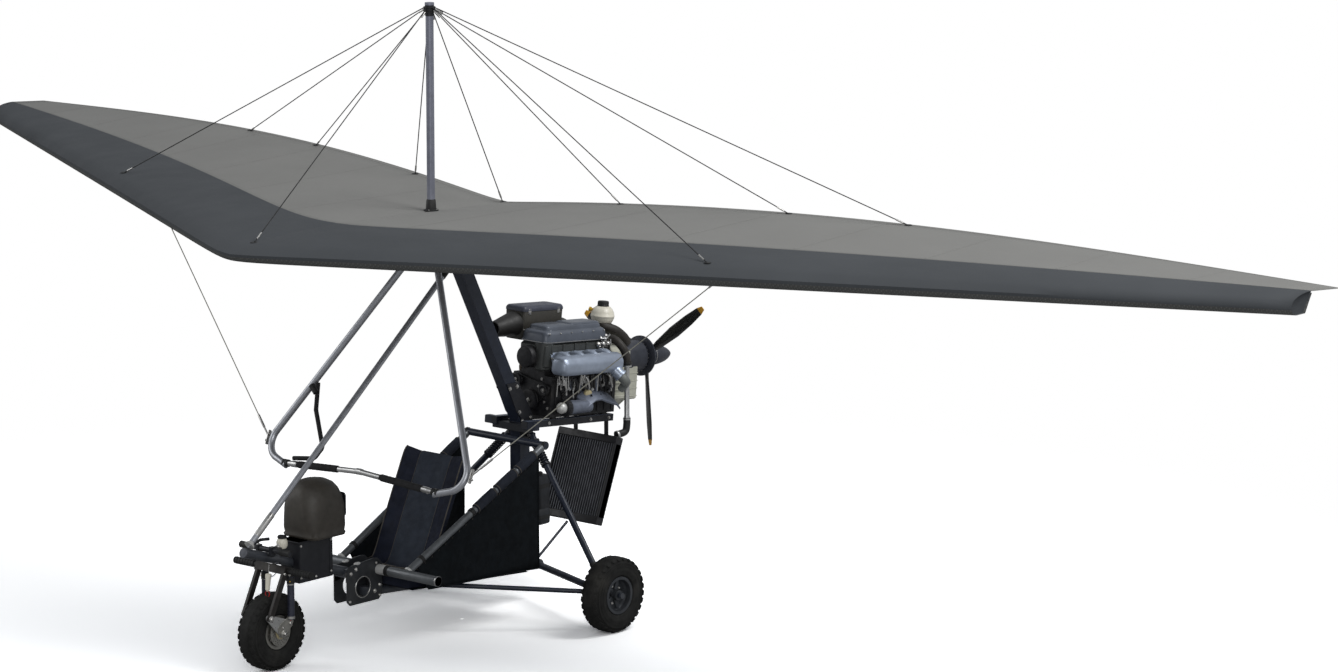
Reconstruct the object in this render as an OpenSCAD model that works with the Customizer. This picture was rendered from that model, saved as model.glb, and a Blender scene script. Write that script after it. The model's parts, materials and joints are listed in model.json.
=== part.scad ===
/*
  Flex-wing microlight: a tricycle with a rear engine and pusher propeller, hung under a
  kingposted delta wing. Millimetres. +X is to port (the pilot's left), the nose points to -Y,
  +Z is up and the wheels stand on z = 0. Points are [x, y, z] unless a name says otherwise.
*/

/* [Wing] */
// Half of the wing span
half_span = 5030; // [4200:10:6100]
// Foremost point of the nose of the wing, along Y
nose_y = -1820; // [-1900:5:-1700]
// Sweep of the leading edge in degrees
sweep = 29.8; // [25:0.1:33]
// Length of the sail on the keel
root_chord = 2225; // [2000:5:2500]
// Length of the sail at the tip
tip_chord = 450; // [350:5:600]
// Length of the double-skinned nose section beside the keel
root_fold = 640; // [500:5:800]
// Extra length of the nose section right on the keel
keel_fold_extra = 200; // [0:5:300]
// Length of the double-skinned nose section at the tip
tip_fold = 180; // [140:5:260]
// Depth of the nose section on the keel
root_depth = 104; // [80:1:130]
// Depth of the nose section at the tip
tip_depth = 114; // [80:1:130]
// Extra depth of the nose section a third of the way out
belly = 36; // [0:1:50]
// Thickness of the single-skinned sail
sail_t = 12; // [8:1:20]
// Height of the underside of the nose section on the keel
wing_z = 2334; // [2300:1:2400]
// Drop of the leading edge from the keel to the tip
tip_droop = 76; // [0:1:150]
// Height of the trailing edge over the underside of the nose section, on the keel
te_rise = 43; // [20:1:60]
// The same at the tip
te_rise_tip = 85; // [40:1:120]
// Extra rise of the trailing edge halfway out
te_arch = 114; // [0:1:140]
// Diameter of the keel tube
keel_d = 50; // [40:1:60]
// Diameter of the kingpost
kingpost_d = 45; // [35:1:60]
// Height of the kingpost above the keel tube
kingpost_h = 1262; // [900:5:1500]
// Diameter of a stay
stay_d = 6; // [4:0.5:10]

/* [Control frame] */
// Half of the width of the control frame at its corners
frame_half_w = 785; // [700:5:900]
// Height of the corners of the control frame
frame_corner_z = 1078; // [1000:2:1200]
// Height of the middle of the base bar
base_bar_z = 1000; // [950:2:1060]
// Diameter of a downtube
downtube_d = 39; // [30:1:50]
// Diameter of the base bar
base_bar_d = 32; // [25:1:40]
// Diameter of a hand grip
grip_d = 40; // [36:1:50]

/* [Trike frame] */
// Diameter of the main beam under the trike
beam_d = 56; // [45:1:70]
// Side of the square pylon tube
pylon_w = 80; // [60:1:100]
// Diameter of the front strut
strut_d = 34; // [28:1:45]
// Diameter of the side tubes and cross tubes
side_d = 42; // [34:1:50]
// Outer diameter of the padding on the side tubes
pad_d = 58; // [50:1:70]
// Height of the pylon top, where the wing hangs
hang_z = 2150; // [2050:5:2250]
// Hole through each nose plate
plate_hole_d = 115; // [60:1:130]
// Thickness of each nose plate
plate_t = 8; // [5:1:12]
// Length of the foot tube across the nose plates
foot_tube_w = 1040; // [900:10:1200]

/* [Wheels] */
// Outer diameter of the tyres
tyre_d = 436; // [400:2:480]
// Width of the tyres
tyre_w = 130; // [100:2:150]
// Diameter of the main wheel rims
rim_d = 212; // [180:2:240]
// Distance between the two main wheels, centre to centre
track = 1700; // [1500:10:1900]
// Distance from the nose axle to the main axle
wheelbase = 1890; // [1800:5:1950]
// Diameter of the axle pins
axle_d = 20; // [16:1:25]
// Radial gap round a turning pin
pin_gap = 0.05; // [0.02:0.01:0.1]
// Rake of the steering head in degrees
rake = 19; // [12:1:25]
// Diameter of the steering pin
steer_pin_d = 24; // [20:1:30]

/* [Engine and propeller] */
// Radius of the propeller
prop_r = 535; // [450:5:600]
// Number of propeller blades
prop_blades_n = 3; // [2:1:4]
// Downward tilt of the thrust line towards the rear, in degrees
thrust_tilt = 5.3; // [0:0.1:8]
// Diameter of the propeller shaft
prop_shaft_d = 30; // [25:1:40]
// Width of the crankcase
crank_w = 300; // [240:5:340]
// Length of the crankcase
crank_l = 560; // [480:5:640]
// Width of the radiator
rad_w = 460; // [380:5:520]
// Length of the radiator, top to bottom
rad_l = 530; // [420:5:560]
// Thickness of the radiator
rad_t = 60; // [40:1:80]

/* [Seat] */
// Width of the seat
seat_w = 460; // [400:5:500]
// Height of the top of the seat back
seat_top_z = 1005; // [900:5:1050]

/* [Hidden] */
$fn = 48;

// Seat of one piece on another that it doesn't merge with
touch = 0.3;
// Overlap that merges two shapes of one solid
merge = 1;
// A collar on a bent tube is this much wider than the tube
collar = 1;

// Places on the ground plane
axle_y = 347;
nose_axle_y = axle_y - wheelbase;
wheel_z = tyre_d / 2;
tip_tan = tan(sweep);

// Places on the frame, [y, z] on the centre plane
hang = [-38, hang_z];
beam_nose = [-1750, 698];
beam_knee = [-950, 449];
keel_knee = [-795, 305];
keel_tail = [665, 205];
pylon_bend = [470, 1150];
strut_foot = [-1684, 748];
post_y = 497;

// ---------------------------------------------------------------- shared shapes

function unit(v) = v / norm(v);
function mix(a, b, t) = a + (b - a) * t;
// Point at height z0 on the line through the [y, z] points a and b
function on_line(a, b, y) = mix(a[1], b[1], (y - a[0]) / (b[0] - a[0]));
// A [y, z] pair as a point at the given x
function at_x(x, yz) = [x, yz[0], yz[1]];

// Turns a child that stands on +Z to stand on the line from p to q
module along(p, q) {
    v = q - p;
    translate(p)
        rotate([0, acos(v[2] / norm(v)), atan2(v[1], v[0])])
            children();
}

// Round bar from p to q
module rod(p, q, d) {
    along(p, q) cylinder(d = d, h = norm(q - p));
}

// Ball whose poles lie away from the tubes that meet in it
module ball(d) {
    rotate([20, 30, 0]) sphere(d = d);
}

// Tube bent through the point b between a and c, with bend radius r
module bend(a, b, c, r, d) {
    u = unit(a - b);
    v = unit(c - b);
    opening = acos(u * v);
    back = r / tan(opening / 2);
    centre = b + unit(u + v) * r / sin(opening / 2);
    x = unit(b + u * back - centre);
    z = unit(cross(x, b + v * back - centre));
    y = cross(z, x);
    multmatrix([
        [x[0], y[0], z[0], centre[0]],
        [x[1], y[1], z[1], centre[1]],
        [x[2], y[2], z[2], centre[2]],
        [0, 0, 0, 1]
    ])
        rotate_extrude(angle = 180 - opening) translate([r, 0]) circle(d = d);
}

// Tube through a list of points with one bend radius
module bent_tube(points, r, d) {
    n = len(points) - 1;
    // distance from a corner to the start of its bend
    cut = [for (i = [0:n]) (i == 0 || i == n) ? 0 :
        r / tan(acos(unit(points[i - 1] - points[i]) * unit(points[i + 1] - points[i])) / 2)];
    for (i = [0:n - 1]) {
        u = unit(points[i + 1] - points[i]);
        a = points[i] + u * cut[i];
        b = points[i + 1] - u * cut[i + 1];
        rod(a, b, d);
        // collars where straight and bent lengths are joined
        if (i > 0) translate(a) ball(d + collar);
        if (i < n - 1) translate(b) ball(d + collar);
    }
    for (i = [1:n - 1]) bend(points[i - 1], points[i], points[i + 1], r, d);
}

// Solid through a list of rings of points that all have the same number of points
module loft(rings) {
    n = len(rings[0]);
    m = len(rings);
    polyhedron(
        points = [for (ring = rings) each ring],
        faces = concat(
            [[for (j = [0:n - 1]) j]],
            [for (i = [0:m - 2], j = [0:n - 1], half = [0, 1]) let (k = (j + 1) % n)
                half == 0 ? [i * n + j, (i + 1) * n + j, (i + 1) * n + k]
                    : [i * n + j, (i + 1) * n + k, i * n + k]],
            [[for (j = [n - 1:-1:0]) (m - 1) * n + j]]
        ),
        convexity = 6
    );
}

// Same shape on the port side and on the starboard side
module both_sides() {
    children();
    mirror([1, 0, 0]) children();
}

// ---------------------------------------------------------------- wing

wing_ribs = 14;
nose_round = 120;
function out(x) = abs(x) / half_span;
// Leading edge, straight but for a small round at the nose
function le_y(x) = nose_y + tip_tan * (sqrt(x * x + nose_round * nose_round) - nose_round);
function le_z(x) = wing_z - tip_droop * out(x);
function chord(x) = mix(root_chord, tip_chord, out(x));
function fold_len(x) = mix(root_fold, tip_fold, pow(out(x), 1.9)) +
    keel_fold_extra * exp(-abs(x) / 350);
function depth(x) = mix(root_depth, tip_depth, out(x)) + belly * sin(180 * pow(out(x), 0.6));
function te_z(x) = le_z(x) + mix(te_rise, te_rise_tip, out(x)) +
    te_arch * sin(180 * pow(out(x), 0.85));
// Height of the nose section's top, as a share of its depth, at a share k of the way to the front
lip_share = 0.42;
function nose_curve(k) = lip_share + (1 - lip_share) * sqrt(1 - pow(k, 2.2));
// Top of the sail at x, a share f of the way from the fold to the trailing edge
function sail_top(x, f) = let (fold = [le_y(x) + fold_len(x), le_z(x) + depth(x)],
    te = [le_y(x) + chord(x), te_z(x)])
    at_x(x, mix(fold, te, f) + [0, sail_t / 2 * f]);
// Top of the nose section at x, a share k of the way from the fold to the leading edge
function nose_top(x, k) = [x, le_y(x) + fold_len(x) * (1 - k), le_z(x) + depth(x) * nose_curve(k)];

// Section of the wing at x as [y, z] points: trailing edge, sail, fold, round nose, underside
function section(x) =
    let (
        y0 = le_y(x), z0 = le_z(x), f = fold_len(x), h = depth(x), lip = h * lip_share,
        fold = [y0 + f, z0 + h], te = [y0 + chord(x), te_z(x)]
    )
    concat(
        [for (k = [1, 0.75, 0.5, 0.25, 0]) mix(fold, te, k) + [0, sail_t / 2 * k]],
        [for (k = [0.3, 0.55, 0.75, 0.9]) [y0 + f * (1 - k), z0 + h * nose_curve(k)]],
        [for (a = [0:30:90]) [y0 + lip * (1 - cos(a)), z0 + lip * (1 - sin(a))]],
        [[y0 + f * 0.72, z0], [y0 + f * 0.88, z0 + h * 0.45]],
        [for (k = [0.03, 0.25, 0.5, 0.75, 1]) mix(fold, te, k) + [0, sail_t / 2 * k - sail_t]]
    );

module wing_sail() {
    color([0.42, 0.42, 0.40]) loft([for (i = [-wing_ribs:wing_ribs])
        let (x = half_span * i / wing_ribs)
        [for (p = section(x)) at_x(x, p)]]);
}

keel_z = wing_z - keel_d / 2 - touch;
keel_top = keel_z + keel_d / 2;
keel_front_y = -1300;
keel_end_y = 748;
kingpost_y = -232;
// Share of the way from the fold to the trailing edge at y on the keel
function keel_share(y) = (y - le_y(0) - fold_len(0)) / (chord(0) - fold_len(0));

// The wing hangs on a block between a pin across the pylon and a pin along the keel
pitch_pin_d = 16;
roll_z = hang_z + 65;
block_w = 40;
block_l = 44;
lug_t = 9;

module keel_tube() {
    color([0.70, 0.74, 0.80]) {
        difference() {
            rod([0, keel_front_y, keel_z], [0, keel_end_y, keel_z], keel_d);
            rod([0, keel_end_y - 80, keel_z], [0, keel_end_y + merge, keel_z], keel_d - 6);
        }
        // lugs and pin of the hang bracket
        for (side = [-1, 1])
            translate([-block_w / 2, hang[0] + side * (block_l / 2 + 0.5 + lug_t / 2) - lug_t / 2,
                roll_z - 18])
                cube([block_w, lug_t, keel_z - roll_z + 18]);
        translate([0, hang[0] - block_l / 2 - lug_t - 2, roll_z]) rotate([-90, 0, 0])
            cylinder(d = pitch_pin_d, h = block_l + 2 * lug_t + 4);
        // block that carries the kingpost's load through the sail
        translate([-18, kingpost_y - 18, keel_z])
            cube([36, 36, sail_top(0, keel_share(kingpost_y + 18))[2] - sail_t - touch - keel_z]);
    }
}

module hang_block() {
    bore_d = pitch_pin_d + 2 * pin_gap;
    color([0.30, 0.30, 0.32]) difference() {
        translate([-block_w / 2, hang[0] - block_l / 2, hang_z - 20])
            cube([block_w, block_l, roll_z - hang_z + 40]);
        translate([-block_w, hang[0], hang_z]) rotate([0, 90, 0])
            cylinder(d = bore_d, h = 2 * block_w);
        translate([0, hang[0] - block_l, roll_z]) rotate([-90, 0, 0])
            cylinder(d = bore_d, h = 2 * block_l);
    }
}

cross_bar_d = 34;
cross_bar_y = 260;
cross_end_x = 2200;
module cross_bars() {
    color([0.25, 0.26, 0.28]) both_sides()
        rod([0, cross_bar_y, keel_top + touch + cross_bar_d / 2],
            [cross_end_x, le_y(cross_end_x) + fold_len(cross_end_x) * 0.68,
                le_z(cross_end_x) - cross_bar_d / 2 - touch - 1], cross_bar_d);
}

kingpost_top = keel_top + kingpost_h;
kingpost_foot = sail_top(kingpost_d / 2, keel_share(kingpost_y - kingpost_d / 2))[2] + touch;
module kingpost() {
    color([0.55, 0.56, 0.62]) translate([0, kingpost_y, kingpost_foot])
        cylinder(d = kingpost_d, h = kingpost_top - kingpost_foot - 12);
    color([0.15, 0.15, 0.16]) translate([0, kingpost_y, kingpost_top - 12 - merge])
        cylinder(d = kingpost_d + 8, h = 12 + merge);
}

// A stay stops short of a surface by this much, so that its slanted end rests on it
stay_end = 1.15 * stay_d;
// Stay from the kingpost, a drop below its top, to q
module upper_stay(drop, q) {
    top = [0, kingpost_y, kingpost_top - 24 - drop];
    v = unit(q - top);
    level = unit([v[0], v[1], 0]);
    start = top + level * (kingpost_d / 2 + touch + stay_d / 2 * abs(v[2]));
    rod(start, q - v * stay_end, stay_d);
}
// Trailing-edge ends of the upper stays, as distances from the keel
te_stay_x = [800, 1840, 2560];
le_stay_x = 2260;
stay_step = 9;
module upper_stays() {
    color([0.20, 0.20, 0.20]) {
        both_sides() {
            upper_stay(0, nose_top(le_stay_x, 0.77));
            for (i = [0:2]) upper_stay(stay_step * (2 - i), sail_top(te_stay_x[i], 0.97));
        }
        upper_stay(stay_step, nose_top(0, 0.78));
        upper_stay(3 * stay_step, sail_top(0, 0.97));
    }
}

// ---------------------------------------------------------------- control frame

apex_x = 26;
apex_y = -246;
corner = [frame_half_w, -772, frame_corner_z];
bar_y = -832;
bar_end = [610, bar_y + 5, base_bar_z - 32];
grip_in = 164;
grip_out = 510;

// The downtubes bend at the corners and run on to the base bar's ends, where they are cut square
module downtubes() {
    cut_at = bar_end - bar_way * bar_socket;
    color([0.62, 0.63, 0.64]) both_sides() difference() {
        bent_tube([frame_top, frame_knee, mix(frame_knee, bar_end, 1.5)], 105, downtube_d);
        along(cut_at, cut_at - bar_way) translate([-60, -60, 0]) cube([120, 120, 160]);
    }
    // cross pin block under the keel
    color([0.30, 0.30, 0.32]) translate([-apex_x - 20, apex_y - 22, keel_z - keel_d / 2 - 44])
        cube([2 * apex_x + 40, 44, 44 - touch]);
}

bar_mid = [0, bar_y, base_bar_z + 4];
bar_knee = [grip_out, bar_y, base_bar_z - 26];
bar_way = unit(bar_end - bar_knee);
// Length of the downtube's end that lies in line with the base bar
bar_socket = 30;
bar_tip = bar_end - bar_way * (bar_socket + touch);
module base_bar() {
    // the lengths meet inside sleeves at the knees and in the middle
    stop = 4;
    sleeve = 20;
    sleeve_d = base_bar_d + 5;
    inner = unit(bar_knee - bar_mid);
    color([0.75, 0.75, 0.74]) {
        both_sides() {
            rod(bar_mid + inner * stop, bar_knee - inner * stop, base_bar_d);
            rod(bar_knee + bar_way * stop, bar_tip, base_bar_d);
            rod(bar_knee - inner * sleeve, bar_knee + inner * sleeve, sleeve_d);
        }
        rod(bar_mid - [sleeve, 0, 0], bar_mid + [sleeve, 0, 0], sleeve_d);
    }
}

// Foam grips round the base bar
module grips() {
    way = unit(bar_knee - bar_mid);
    inner = bar_mid + way * grip_in;
    outer = bar_knee - way * 24;
    color([0.10, 0.10, 0.10]) both_sides() difference() {
        rod(inner, outer, grip_d);
        rod(inner - way * merge, outer + way * merge, base_bar_d + 2 * touch);
    }
}

frame_top = [apex_x, apex_y, keel_z - keel_d / 2 - 22];
frame_knee = corner + [22, -14, -58];
lower_stay_foot = mix(frame_top, frame_knee, 0.95) + [downtube_d / 2 + stay_d / 2 + touch, 0, 0];
module lower_stays() {
    color([0.62, 0.62, 0.60]) both_sides()
        rod(lower_stay_foot, [cross_end_x, le_y(cross_end_x) + fold_len(cross_end_x) * 0.62,
            le_z(cross_end_x) - stay_d / 2], stay_d);
}

// Padded loop from the starboard downtube to the base bar
grab_d = 26;
module grab_bar() {
    head = mix(frame_top, frame_knee, 0.688);
    side = downtube_d / 2 + grab_d / 2 + touch;
    color([0.08, 0.08, 0.09]) bent_tube([
        [-head[0] + side, head[1], head[2]], [-478, -690, 1270], [-345, -775, 1085],
        [-375, -812, 1023], [-522, bar_y, 973 + base_bar_d / 2 + grab_d / 2 + 5]
    ], 30, grab_d);
}

// ---------------------------------------------------------------- trike frame

cheek_t = 8;
cheek_d = 44;
pylon_dir = unit(hang - pylon_bend);
pylon_front = [-pylon_dir[1], pylon_dir[0]];
pylon_head = hang - pylon_dir * 48;
// Knee where the mast stands on the upright post
pylon_knee = [post_y, on_line(hang, pylon_bend, post_y)];
post_foot_z = on_line(keel_knee, keel_tail, post_y - pylon_w / 2) + beam_d / 2 + 0.4;

module pylon() {
    pin_l = block_w + 2 * cheek_t + 8;
    half = pylon_w / 2;
    mitre = (pylon_front + [-1, 0]) / (1 + pylon_dir[1]) * half;
    color([0.10, 0.12, 0.18]) {
        translate([-half, 0, 0]) rotate([90, 0, 90]) linear_extrude(pylon_w) polygon([
            [post_y + half, post_foot_z], [post_y - half, post_foot_z], pylon_knee + mitre,
            pylon_head + pylon_front * half, pylon_head - pylon_front * half, pylon_knee - mitre
        ]);
        // cheeks and pin that carry the hang block
        for (side = [-1, 1])
            translate([side * (block_w / 2 + 1 + cheek_t / 2) - cheek_t / 2, 0, 0])
                rotate([90, 0, 90]) linear_extrude(cheek_t) {
                    translate(hang) circle(d = cheek_d);
                    polygon([for (k = [[0, 1], [0, -1], [70, -1], [70, 1]])
                        hang - pylon_dir * k[0] + pylon_front * k[1] * cheek_d / 2]);
                }
        translate([-pin_l / 2, hang[0], hang[1]]) rotate([0, 90, 0])
            cylinder(d = pitch_pin_d, h = pin_l);
    }
}

strut_dir = unit([0, strut_foot[0] - hang[0], strut_foot[1] - hang[1] + 40]);
strut_head_gap = pylon_w / 2 + strut_d / 2 * 0.23 + touch;
module front_strut() {
    head = at_x(0, hang) - [0, 0, 40] + strut_dir * (strut_head_gap / 0.97);
    color([0.66, 0.67, 0.68]) {
        rod(at_x(0, strut_foot), head, strut_d);
        // threaded stud and clevis foot on the beam
        rod(at_x(0, strut_foot) + strut_dir * 42, at_x(0, strut_foot) - strut_dir * merge, 14);
    }
}

beam_slope = atan2(beam_nose[1] - beam_knee[1], beam_knee[0] - beam_nose[0]);
function beam_z(y) = on_line(beam_nose, beam_knee, y);
module main_beam() {
    color([0.16, 0.17, 0.20]) difference() {
        union() {
            rod(at_x(0, beam_nose), at_x(0, beam_knee), beam_d);
            rod(at_x(0, keel_knee), at_x(0, keel_tail), beam_d);
            head_tube(beam_d * 0.9, 24, 104);
            // shoulders that fill the space between the nose plates
            translate([-plate_x + touch, beam_knee[0] - 44, beam_knee[1] - 24])
                cube([2 * (plate_x - touch), 44, 48]);
            translate([-plate_x + touch, keel_knee[0] , keel_knee[1] - 24])
                cube([2 * (plate_x - touch), 44, 48]);
        }
        head_tube(steer_pin_d + 2 * pin_gap, -60, 180);
    }
}

// Cylinder on the steering axis, from one distance along it to another
steer_foot = [0, -1520, 573];
module head_tube(d, from, to) {
    translate(steer_foot) rotate([-rake, 0, 0]) translate([0, 0, from])
        cylinder(d = d, h = to - from);
}

// Two hinge plates with a large hole
plate_x = 46;
plate_eye = [-870, 355];
module nose_plates() {
    outline = [[-995, 285], [-972, 262], [-740, 262], [-715, 290], [-715, 470], [-745, 500],
        [-780, 506], [-960, 490], [-995, 470]];
    color([0.14, 0.15, 0.17]) difference() {
        for (side = [-1, 1])
            translate([side * (plate_x + plate_t / 2) - plate_t / 2, 0, 0])
                rotate([90, 0, 90]) linear_extrude(plate_t) polygon(outline);
        translate([-100, plate_eye[0], plate_eye[1]]) rotate([0, 90, 0])
            cylinder(d = plate_hole_d, h = 200);
    }
}

foot_tube_y = -745;
foot_tube_z = 436;
module foot_tube() {
    half = foot_tube_w / 2;
    color([0.36, 0.38, 0.40]) both_sides()
        rod([plate_x + plate_t + touch, foot_tube_y, foot_tube_z],
            [half, foot_tube_y, foot_tube_z], beam_d);
}

side_foot = [262, foot_tube_y, foot_tube_z];
side_top = [295, 380, 1000];
way = unit(side_top - side_foot);
module side_tubes() {
    color([0.45, 0.47, 0.50]) both_sides()
        rod(side_foot + way * (beam_d / 2 + 1), side_top - way * (side_d / 2 + 1), side_d);
}

pad_sections = [[0.50, 0.64], [0.65, 0.79], [0.80, 0.93]];
module side_pads() {
    color([0.12, 0.14, 0.18]) both_sides() for (s = pad_sections) {
        a = mix(side_foot, side_top, s[0]);
        b = mix(side_foot, side_top, s[1]);
        difference() {
            rod(a, b, pad_d);
            rod(mix(a, b, -0.05), mix(a, b, 1.05), side_d + 2 * touch);
        }
    }
}

module seat_cross_tubes() {
    color([0.10, 0.12, 0.18])
        rod([-side_top[0] - 20, side_top[1], side_top[2]],
            [side_top[0] + 20, side_top[1], side_top[2]], side_d);
}

// Top of the keel beam, where the floor lies
function keel_beam_top(y) = on_line(keel_knee, keel_tail, y) + beam_d / 2 + 1;
floor_t = 6;
floor_y = [-660, 300];
floor_w = 480;
module cockpit_floor() {
    color([0.06, 0.06, 0.08]) translate([-floor_w / 2, 0, 0]) rotate([90, 0, 90])
        linear_extrude(floor_w) polygon([
            for (y = floor_y) [y, keel_beam_top(y)],
            for (i = [1, 0]) [floor_y[i], keel_beam_top(floor_y[i]) + floor_t]
        ]);
}

module seat() {
    front = -690;
    rear = -400;
    color([0.09, 0.10, 0.15]) translate([-seat_w / 2, 0, 0]) rotate([90, 0, 90])
        linear_extrude(seat_w) polygon([
            [front, keel_beam_top(front) + floor_t + touch], [front, 440], [-520, 400],
            [-465, 440], [-205, seat_top_z], [-150, seat_top_z], [-150, seat_top_z - 60],
            [-380, 400], [rear, keel_beam_top(rear) + floor_t + touch]
        ]);
}

// Cloth sides that hang under the padded side tubes, in the tubes' own planes
panel_t = 6;
panel_turn = atan2(side_top[0] - side_foot[0], side_top[1] - side_foot[1]);
function side_tube_under(y) = on_line([side_foot[1], side_foot[2]], [side_top[1], side_top[2]], y) -
    pad_d / 2 / cos(atan2(side_top[2] - side_foot[2], side_top[1] - side_foot[1])) - touch;
module side_panels() {
    front = -640;
    rear = 335;
    color([0.04, 0.05, 0.06]) both_sides()
        translate([side_foot[0] - panel_t / 2, side_foot[1], 0]) rotate(-panel_turn)
            translate([0, -side_foot[1], 0]) rotate([90, 0, 90]) linear_extrude(panel_t) polygon([
                [front, side_tube_under(front)], [front + 80, keel_beam_top(front)],
                [rear, keel_beam_top(rear) + 30], [rear, side_tube_under(rear)]
            ]);
}

module instrument_pod() {
    color([0.14, 0.13, 0.12]) translate([0, -1205, 0]) hull() {
        translate([0, 0, 895]) sphere(d = 270, $fn = 32);
        translate([0, 20, 870]) sphere(d = 280, $fn = 32);
        translate([-120, -110, 705]) cube([240, 250, 20]);
    }
}

module pod_stand() {
    color([0.12, 0.13, 0.15]) difference() {
        translate([-70, -1391, 470]) cube([140, 266, 704.5 - 470]);
        // saddle on the beam
        rod([0, beam_nose[0], beam_nose[1]], at_x(0, beam_knee), beam_d + 2 * touch);
        translate([-28 - touch, -1400, 400]) cube([56 + 2 * touch, 300, 130]);
    }
}

module brake_bar() {
    y = -1580;
    z = beam_z(y) + (beam_d + 30) / 2 / cos(beam_slope) + touch;
    color([0.07, 0.07, 0.08]) rod([-190, y, z], [190, y, z], 30);
}

// ---------------------------------------------------------------- nose gear

arm_pivot = [-1650, 322];
arm_x = 100;
steer_bar_d = 32;
crown_top = 21;
module steering_bar_bore() {
    rod(steer_foot - [400, 0, 0], steer_foot + [400, 0, 0], steer_bar_d + 2 * touch);
}
module fork() {
    color([0.16, 0.15, 0.15]) {
        difference() {
            union() {
                translate(steer_foot) rotate([-rake, 0, 0]) translate([-arm_x - 15, -30, -26])
                    cube([2 * arm_x + 30, 74, 26 + crown_top]);
                both_sides()
                    along([arm_x, arm_pivot[0], arm_pivot[1]], steer_foot + [arm_x, -14, -10])
                        translate([-17, -9, -16]) cube([34, 18, 280]);
            }
            steering_bar_bore();
        }
        head_tube(steer_pin_d, crown_top - merge, 118);
        head_tube(steer_pin_d + 20, 105, 118);
    }
}

module steering_bar() {
    color([0.05, 0.05, 0.05]) rod(steer_foot - [300, 0, 0], steer_foot + [300, 0, 0], steer_bar_d);
}

module trailing_arms() {
    color([0.55, 0.56, 0.58]) {
        both_sides() translate([arm_x - 17 - touch, 0, 0]) rotate([90, 0, 90]) linear_extrude(8)
            hull() {
                translate(arm_pivot) circle(d = 36, $fn = 32);
                translate([nose_axle_y, wheel_z]) circle(d = 50, $fn = 32);
                translate([nose_axle_y + 55, wheel_z + 48]) circle(d = 36, $fn = 32);
            }
        x_axle(nose_axle_y, arm_x + 6);
    }
}

// Axle pin across the middle, reaching to x1 on each side
module x_axle(y, x1) {
    translate([-x1, y, wheel_z]) rotate([0, 90, 0]) cylinder(d = axle_d, h = 2 * x1);
}

module nose_dampers() {
    y = nose_axle_y + 55;
    color([0.16, 0.18, 0.26]) both_sides()
        rod([arm_x, y, wheel_z + 74], [arm_x, y, 533.8], 40);
}

// Wheel rim on an axle along X: hub, web and the two flanges that hold the tyre
module rim(y, hub_w, w, d) {
    bore = axle_d + 2 * pin_gap;
    color([0.32, 0.33, 0.34]) translate([0, y, wheel_z]) rotate([0, 90, 0])
        rotate_extrude($fn = 96) polygon([
            [bore / 2, -hub_w / 2], [30, -hub_w / 2], [30, -10], [d / 2 - 14, -8],
            [d / 2 - 14, -w / 2], [d / 2 + 3, -w / 2], [d / 2 + 3, -w / 2 + 6],
            [d / 2 - 6, -w / 2 + 9], [d / 2 - 6, w / 2 - 9], [d / 2 + 3, w / 2 - 6],
            [d / 2 + 3, w / 2], [d / 2 - 14, w / 2], [d / 2 - 14, 8], [30, 10],
            [30, hub_w / 2], [bore / 2, hub_w / 2]
        ]);
}

module tyre(y, w, d) {
    seat_r = d / 2 - 6 + touch;
    bead = w / 2 - 9 - touch;
    color([0.06, 0.06, 0.06]) translate([0, y, wheel_z]) rotate([0, 90, 0])
        rotate_extrude($fn = 96) polygon([
            [seat_r, -bead], [d / 2 + 4, -bead], [d / 2 + 12, -tyre_w / 2 + 6],
            [d / 2 + 40, -tyre_w / 2], [tyre_d / 2 - 34, -tyre_w / 2 + 4],
            [tyre_d / 2 - 10, -tyre_w / 2 + 18], [tyre_d / 2, -tyre_w / 2 + 42],
            [tyre_d / 2, tyre_w / 2 - 42], [tyre_d / 2 - 10, tyre_w / 2 - 18],
            [tyre_d / 2 - 34, tyre_w / 2 - 4], [d / 2 + 40, tyre_w / 2],
            [d / 2 + 12, tyre_w / 2 - 6], [d / 2 + 4, bead], [seat_r, bead]
        ]);
}

nose_rim_d = 186;
module nose_wheel() {
    rim(nose_axle_y, 140, 104, nose_rim_d);
    // brake disc
    color([0.6, 0.6, 0.62]) translate([66, nose_axle_y, wheel_z]) rotate([0, 90, 0]) difference() {
        cylinder(d = 150, h = 4);
        translate([0, 0, -1]) cylinder(d = 58, h = 6);
    }
}
module nose_tyre() { tyre(nose_axle_y, 104, nose_rim_d); }
module main_wheel() { translate([track / 2, 0, 0]) rim(axle_y, 96, 110, rim_d); }
module main_tyre() { translate([track / 2, 0, 0]) tyre(axle_y, 110, rim_d); }
module wheel_port() { main_wheel(); }
module tyre_port() { main_tyre(); }
module wheel_starboard() { mirror([1, 0, 0]) main_wheel(); }
module tyre_starboard() { mirror([1, 0, 0]) main_tyre(); }

// ---------------------------------------------------------------- engine

prop_centre = [0, 1602, 1307];
// The engine's own frame: the origin at the middle of the propeller, +Y along the thrust line
module engine_frame() {
    translate(prop_centre) rotate([-thrust_tilt, 0, 0]) children();
}
rail_top = -305;
rail_l = 750;
crank_y1 = -430;
crank_y0 = crank_y1 - crank_l;

module engine_rails() {
    color([0.10, 0.11, 0.14]) {
        engine_frame() {
            both_sides() translate([100, -1170, rail_top - 40]) cube([40, rail_l, 40]);
            translate([-140, -460, rail_top - 40]) cube([280, 40, 40]);
        }
        translate([-141, post_y - pylon_w / 2 - 40 - touch, 1043]) cube([282, 40, 42]);
    }
}

module crankcase() {
    color([0.12, 0.12, 0.13]) engine_frame() {
        translate([-crank_w / 2, crank_y0, rail_top + 15]) cube([crank_w, crank_l, 235]);
        translate([-crank_w / 2 + 60, crank_y0, rail_top + 249]) cube([crank_w - 120, crank_l, 191]);
        for (y = [crank_y0 + 60, crank_y1 - 60]) both_sides()
            translate([120, y, rail_top + touch]) cylinder(d = 40, h = 16);
    }
}

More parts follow.
